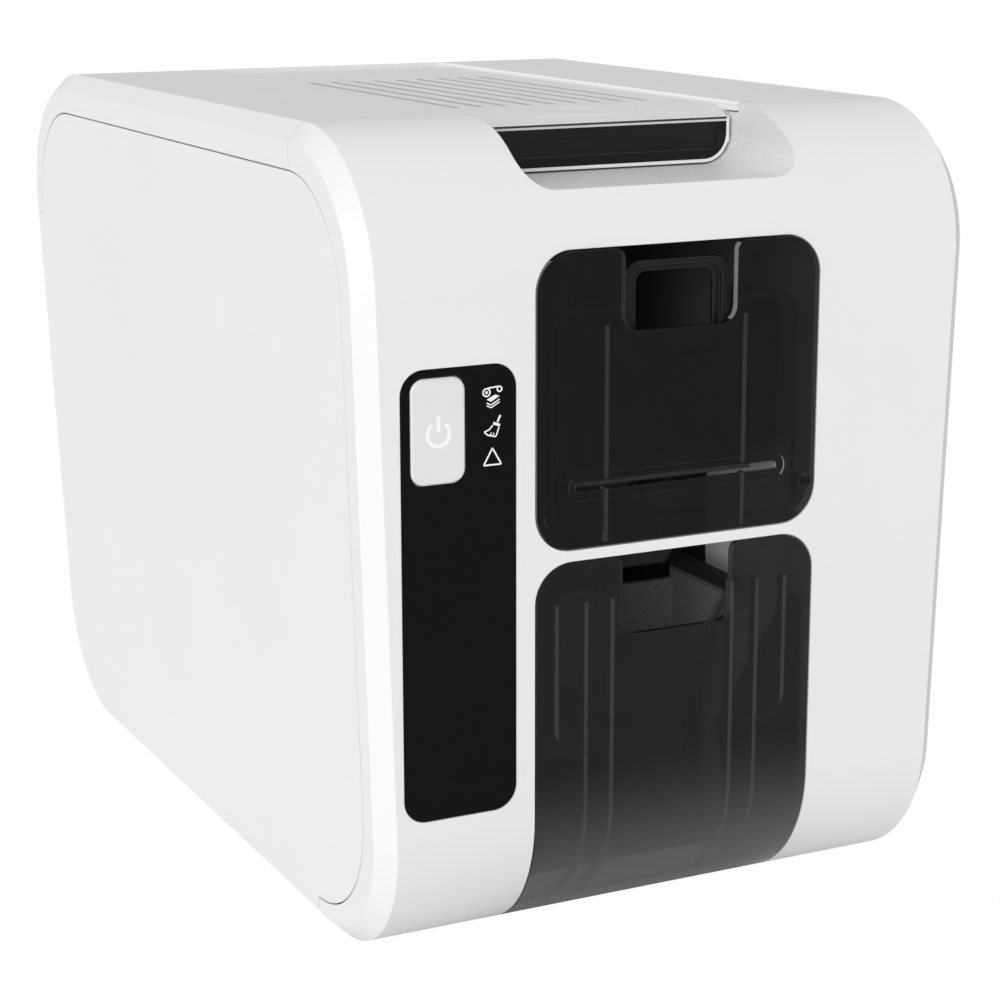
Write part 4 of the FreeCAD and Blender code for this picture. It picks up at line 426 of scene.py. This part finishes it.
def flat_polygon(shape, points, y, thickness):
    """A flat plate with the given outline of (x, z) points, facing forward."""
    front = [shape.verts.new(place(x, y - thickness, z)) for x, z in points]
    back = [shape.verts.new(place(x, y, z)) for x, z in points]
    shape.faces.new(front)
    shape.faces.new(list(reversed(back)))
    for index in range(len(points)):
        after = (index + 1) % len(points)
        shape.faces.new([front[index], back[index], back[after], front[after]])


def stroke(shape, points, width, y, thickness):
    """Line of the given width through the points, one plate per run."""
    for start, end in zip(points, points[1:]):
        dx = end[0] - start[0]
        dz = end[1] - start[1]
        length = math.hypot(dx, dz)
        nx = -dz / length * width / 2
        nz = dx / length * width / 2
        flat_polygon(shape, [(start[0] + nx, start[1] + nz), (start[0] - nx, start[1] - nz),
                             (end[0] - nx, end[1] - nz), (end[0] + nx, end[1] + nz)],
                     y, thickness)


def arc_points(x, z, radius, start, end, count):
    points = []
    for index in range(count + 1):
        angle = math.radians(start + (end - start) * index / count)
        points.append((x + radius * math.cos(angle), z + radius * math.sin(angle)))
    return points


def ring(shape, x, z, radius, width, y, thickness, start=0, end=360, count=36):
    outer = arc_points(x, z, radius + width / 2, start, end, count)
    inner = arc_points(x, z, radius - width / 2, start, end, count)
    for index in range(count):
        flat_polygon(shape, [outer[index], inner[index], inner[index + 1], outer[index + 1]],
                     y, thickness)


SYMBOL_Y = 0.3
SYMBOL_RISE = 0.03


def power_symbol(shape):
    x, z = -75.55, 160.6
    ring(shape, x, z, 3.3, 1.05, 0.0, SYMBOL_RISE, 125, 415, 40)
    stroke(shape, [(x, z + 0.7), (x, z + 5.2)], 1.1, 0.0, SYMBOL_RISE)


def ribbon_symbol(shape):
    x, z = -59.2, 169.5
    line = 0.42
    ring(shape, x - 1.75, z + 1.3, 1.05, line, SYMBOL_Y, SYMBOL_RISE)
    flat_polygon(shape, arc_points(x - 1.75, z + 1.3, 0.42, 0, 345, 23), SYMBOL_Y, SYMBOL_RISE)
    ring(shape, x + 2.2, z + 2.0, 0.68, line, SYMBOL_Y, SYMBOL_RISE)
    stroke(shape, [(x - 1.6, z + 2.45), (x + 2.2, z + 2.78)], line, SYMBOL_Y, SYMBOL_RISE)
    flat_polygon(shape, [(x - 1.7, z - 0.7), (x + 0.8, z + 0.55), (x + 2.2, z + 0.1),
                         (x - 0.4, z - 1.35)], SYMBOL_Y, SYMBOL_RISE)
    for drop in (0.75, 1.5):
        stroke(shape, [(x - 1.7, z - 0.85 - drop), (x - 0.4, z - 1.5 - drop),
                       (x + 2.2, z - 0.1 - drop)], 0.32, SYMBOL_Y, SYMBOL_RISE)


def broom_symbol(shape):
    x, z = -59.2, 161.2
    stroke(shape, [(x + 2.4, z + 3.0), (x + 1.55, z + 1.1)], 0.55, SYMBOL_Y, SYMBOL_RISE)
    stroke(shape, [(x + 0.3, z + 0.95), (x + 2.3, z + 0.15)], 0.75, SYMBOL_Y, SYMBOL_RISE)
    stroke(shape, [(x + 0.1, z + 0.35), (x - 0.9, z - 0.75), (x - 2.5, z - 1.35),
                   (x - 1.4, z - 2.3), (x + 1.0, z - 2.9), (x + 1.5, z - 1.8),
                   (x + 2.0, z - 0.3)], 0.4, SYMBOL_Y, SYMBOL_RISE)
    stroke(shape, [(x - 0.75, z - 2.3), (x - 0.2, z - 1.6)], 0.28, SYMBOL_Y, SYMBOL_RISE)
    stroke(shape, [(x + 0.15, z - 2.6), (x + 0.5, z - 1.8)], 0.28, SYMBOL_Y, SYMBOL_RISE)


def triangle_symbol(shape):
    x, z = -59.2, 152.7
    corners = [(x, z + 2.5), (x - 2.7, z - 2.2), (x + 2.7, z - 2.2)]
    stroke(shape, corners + corners[:1], 0.45, SYMBOL_Y, SYMBOL_RISE)


# Painted highlights: light grey strips inside the ribs of the two smoked doors, just behind the
# sheets, standing in for the light that the clear plastic gathers there
DOOR_WALL = 2.2
HIGHLIGHT_START = DOOR_WALL + 0.05
HIGHLIGHT_DEPTH = 1.1
HIGHLIGHT_WIDTH = 1.2
DOOR_BEND = 43.0
BEND_HEIGHT = 45.0
BEND_STEPS = 12
RIB_TOP = 106.8
RIB_LOW = 10.5
INNER_RIB, MIDDLE_RIB, OUTER_RIB = 20.0, 28.5, 38.0
TURN_LOW, TURN_HIGH = 63.0, 70.6
OUTER_RIB_END = 70.5
TURN_STEPS = 10
UPPER_RIB = 22.5
# Low end, high end and depth of the painted highlight strips above and below the card slot
UPPER_HIGHLIGHTS = ((142.5, 186.0, 0.35), (124.0, 139.4, HIGHLIGHT_DEPTH))


def door_section(height_end, depth):
    """Points down the lower door's inside, from the rib's top round the bend to a height."""
    points = [(depth, RIB_TOP), (depth, max(BEND_HEIGHT, height_end))]
    if height_end < BEND_HEIGHT:
        radius = DOOR_BEND - depth
        last = math.asin((BEND_HEIGHT - height_end) / radius)
        for index in range(1, BEND_STEPS + 1):
            angle = last * index / BEND_STEPS
            points.append((DOOR_BEND - radius * math.cos(angle),
                           BEND_HEIGHT - radius * math.sin(angle)))
    return points


def band_x(shape, front, back, x, width):
    """A band between two rows of (y, z) points, as wide as given along x."""
    rows = []
    for side in (-1, 1):
        rows.append([shape.verts.new(place(x + side * width / 2, y, z)) for y, z in front])
        rows.append([shape.verts.new(place(x + side * width / 2, y, z)) for y, z in back])
    left_front, left_back, right_front, right_back = rows
    for index in range(len(front) - 1):
        after = index + 1
        shape.faces.new([left_front[index], left_front[after], right_front[after],
                         right_front[index]])
        shape.faces.new([left_back[index], right_back[index], right_back[after],
                         left_back[after]])
        shape.faces.new([left_front[index], left_back[index], left_back[after],
                         left_front[after]])
        shape.faces.new([right_front[index], right_front[after], right_back[after],
                         right_back[index]])
    for index in (0, -1):
        shape.faces.new([left_front[index], right_front[index], right_back[index],
                         left_back[index]])


def turned_end(shape, side):
    """Quarter of an oval of painted highlight that leads an outer rib's end into its neighbour."""
    loops = []
    for index in range(TURN_STEPS + 1):
        angle = math.pi / 2 * index / TURN_STEPS
        ring_points = []
        for grow, depth in ((-0.5, HIGHLIGHT_START), (0.5, HIGHLIGHT_START),
                            (0.5, HIGHLIGHT_START + HIGHLIGHT_DEPTH), (-0.5, HIGHLIGHT_START + HIGHLIGHT_DEPTH)):
            x = MIDDLE_RIB + (OUTER_RIB - MIDDLE_RIB + grow * HIGHLIGHT_WIDTH) * math.cos(angle)
            z = TURN_HIGH - (TURN_HIGH - TURN_LOW + grow * HIGHLIGHT_WIDTH) * math.sin(angle)
            ring_points.append(shape.verts.new(place(side * x, depth, z)))
        loops.append(ring_points)
    for near, far in zip(loops, loops[1:]):
        for index in range(4):
            after = (index + 1) % 4
            shape.faces.new([near[index], near[after], far[after], far[index]])
    for end in (loops[0], loops[-1]):
        shape.faces.new(end)


def lower_rib_highlights(shape):
    for side in (-1, 1):
        for x, end in ((INNER_RIB, RIB_LOW), (MIDDLE_RIB, RIB_LOW), (OUTER_RIB, OUTER_RIB_END)):
            band_x(shape, door_section(end, HIGHLIGHT_START),
                   door_section(end, HIGHLIGHT_START + HIGHLIGHT_DEPTH * 2), side * x, HIGHLIGHT_WIDTH)
        turned_end(shape, side)


def upper_rib_highlights(shape):
    for x in (-UPPER_RIB, UPPER_RIB):
        for low, high, depth in UPPER_HIGHLIGHTS:
            start, end = HIGHLIGHT_START, HIGHLIGHT_START + depth
            band_x(shape, [(start, high), (start, low)], [(end, high), (end, low)], x, HIGHLIGHT_WIDTH)


def frame_highlight(shape):
    """Painted highlight: a thin light line for the step that runs round the inside of the upper
    door, beside the notch.
    """
    half, inner = 39.6, 21.0
    low, top = 131.0, 191.0
    radius, width, depth = 7.0, 0.9, 0.3
    steps = 8
    for side in (-1, 1):
        outline = [(half, low), (half, top - radius)]
        outline += [(half - radius + radius * math.cos(a), top - radius + radius * math.sin(a))
                    for a in (math.pi / 2 * index / steps for index in range(1, steps + 1))]
        outline.append((inner, top))
        loops = []
        for index, (x, z) in enumerate(outline):
            before = outline[max(index - 1, 0)]
            after = outline[min(index + 1, len(outline) - 1)]
            along = Vector((after[0] - before[0], after[1] - before[1])).normalized()
            across = Vector((along.y, -along.x)) * (width / 2)
            corners = ((x + across.x, HIGHLIGHT_START, z + across.y),
                       (x - across.x, HIGHLIGHT_START, z - across.y),
                       (x - across.x, HIGHLIGHT_START + depth, z - across.y),
                       (x + across.x, HIGHLIGHT_START + depth, z + across.y))
            loops.append([shape.verts.new(place(side * a, b, c)) for a, b, c in corners])
        for near, far in zip(loops, loops[1:]):
            for index in range(4):
                after = (index + 1) % 4
                shape.faces.new([near[index], near[after], far[after], far[index]])
        for end in (loops[0], loops[-1]):
            shape.faces.new(end)


# Painted highlight strips inside the smoked doors, then the printed symbols
mesh_piece("upper_frame_highlight", frame_highlight, "frame_highlight", "stack_door")
mesh_piece("upper_rib_highlights", upper_rib_highlights, "rib_highlight", "stack_door")
mesh_piece("lower_rib_highlights", lower_rib_highlights, "rib_highlight", "bin_door")
mesh_piece("power_symbol", power_symbol, "symbol_white", "button")
mesh_piece("ribbon_symbol", ribbon_symbol, "symbol_white", "housing")
mesh_piece("broom_symbol", broom_symbol, "symbol_white", "housing")
mesh_piece("triangle_symbol", triangle_symbol, "symbol_white", "housing")

# Floor, light and camera
FLOOR_SIZE = 20.0  # metres
FLOOR_GAP = 0.1 * MM  # keeps the floor clear of the feet's undersides
CAMERA_PLACE = (-0.349, -0.74586, 0.30073)
CAMERA_HEADING, CAMERA_TILT, CAMERA_ROLL = -0.4579, -0.2382, 0.002
CAMERA_LENS, CAMERA_SENSOR = 88.78, 36.0

floor_mesh = bpy.data.meshes.new("floor")
floor_shape = bmesh.new()
bmesh.ops.create_grid(floor_shape, x_segments=1, y_segments=1, size=FLOOR_SIZE)
floor_shape.to_mesh(floor_mesh)
floor_shape.free()
floor = bpy.data.objects.new("floor", floor_mesh)
floor.location.z = -FLOOR_GAP
bpy.context.scene.collection.objects.link(floor)
floor_material, floor_tree, floor_shader = new_material("floor_paper")
floor_shader.inputs["Base Color"].default_value = (0.92, 0.92, 0.92, 1)
floor_shader.inputs["Roughness"].default_value = 0.9
floor_glow = add(floor_tree, "ShaderNodeEmission")
floor_mix = add(floor_tree, "ShaderNodeMixShader")
floor_path = add(floor_tree, "ShaderNodeLightPath")
floor_output = [n for n in floor_tree.nodes if n.type == "OUTPUT_MATERIAL"][0]
floor_tree.links.new(floor_path.outputs["Is Camera Ray"], floor_mix.inputs["Fac"])
floor_tree.links.new(floor_shader.outputs["BSDF"], floor_mix.inputs[1])
floor_tree.links.new(floor_glow.outputs["Emission"], floor_mix.inputs[2])
floor_tree.links.new(floor_mix.outputs["Shader"], floor_output.inputs["Surface"])
floor_mesh.materials.append(floor_material)

world = bpy.data.worlds.new("studio")
bpy.context.scene.world = world
world.use_nodes = True
sky = world.node_tree
sky.nodes.clear()
sky_output = sky.nodes.new("ShaderNodeOutputWorld")
sky_seen = sky.nodes.new("ShaderNodeBackground")
sky_light = sky.nodes.new("ShaderNodeBackground")
sky_mix = sky.nodes.new("ShaderNodeMixShader")
sky_path = sky.nodes.new("ShaderNodeLightPath")
sky_seen.inputs["Color"].default_value = (1, 1, 1, 1)
sky_light.inputs["Color"].default_value = (0.52, 0.52, 0.52, 1)
sky.links.new(sky_path.outputs["Is Camera Ray"], sky_mix.inputs["Fac"])
sky.links.new(sky_light.outputs["Background"], sky_mix.inputs[1])
sky.links.new(sky_seen.outputs["Background"], sky_mix.inputs[2])
sky.links.new(sky_mix.outputs["Shader"], sky_output.inputs["Surface"])


def sun(name, direction, strength, angle):
    """Soft lamp that shines from the given direction towards the object."""
    lamp = bpy.data.lights.new(name, "SUN")
    lamp.energy = strength
    lamp.angle = math.radians(angle)
    thing = bpy.data.objects.new(name, lamp)
    thing.rotation_euler = Vector(direction).to_track_quat("Z", "Y").to_euler()
    bpy.context.scene.collection.objects.link(thing)


sun("key_lamp", (-0.72, -0.66, 0.28), 1.82, 40)
sun("top_lamp", (0.1, 0.2, 1.0), 0.35, 50)

camera_data = bpy.data.cameras.new("camera")
camera_data.sensor_width = CAMERA_SENSOR
camera_data.lens = CAMERA_LENS
camera_data.clip_start = 0.01
camera = bpy.data.objects.new("camera", camera_data)
bpy.context.scene.collection.objects.link(camera)
turn = Matrix.Rotation(CAMERA_HEADING, 4, "Z") @ Matrix.Rotation(CAMERA_TILT, 4, "X")
turn = turn @ Matrix.Rotation(CAMERA_ROLL, 4, "Y") @ Matrix.Rotation(math.pi / 2, 4, "X")
camera.matrix_world = Matrix.Translation(CAMERA_PLACE) @ turn
bpy.context.scene.camera = camera
bpy.context.scene.view_settings.view_transform = "Standard"
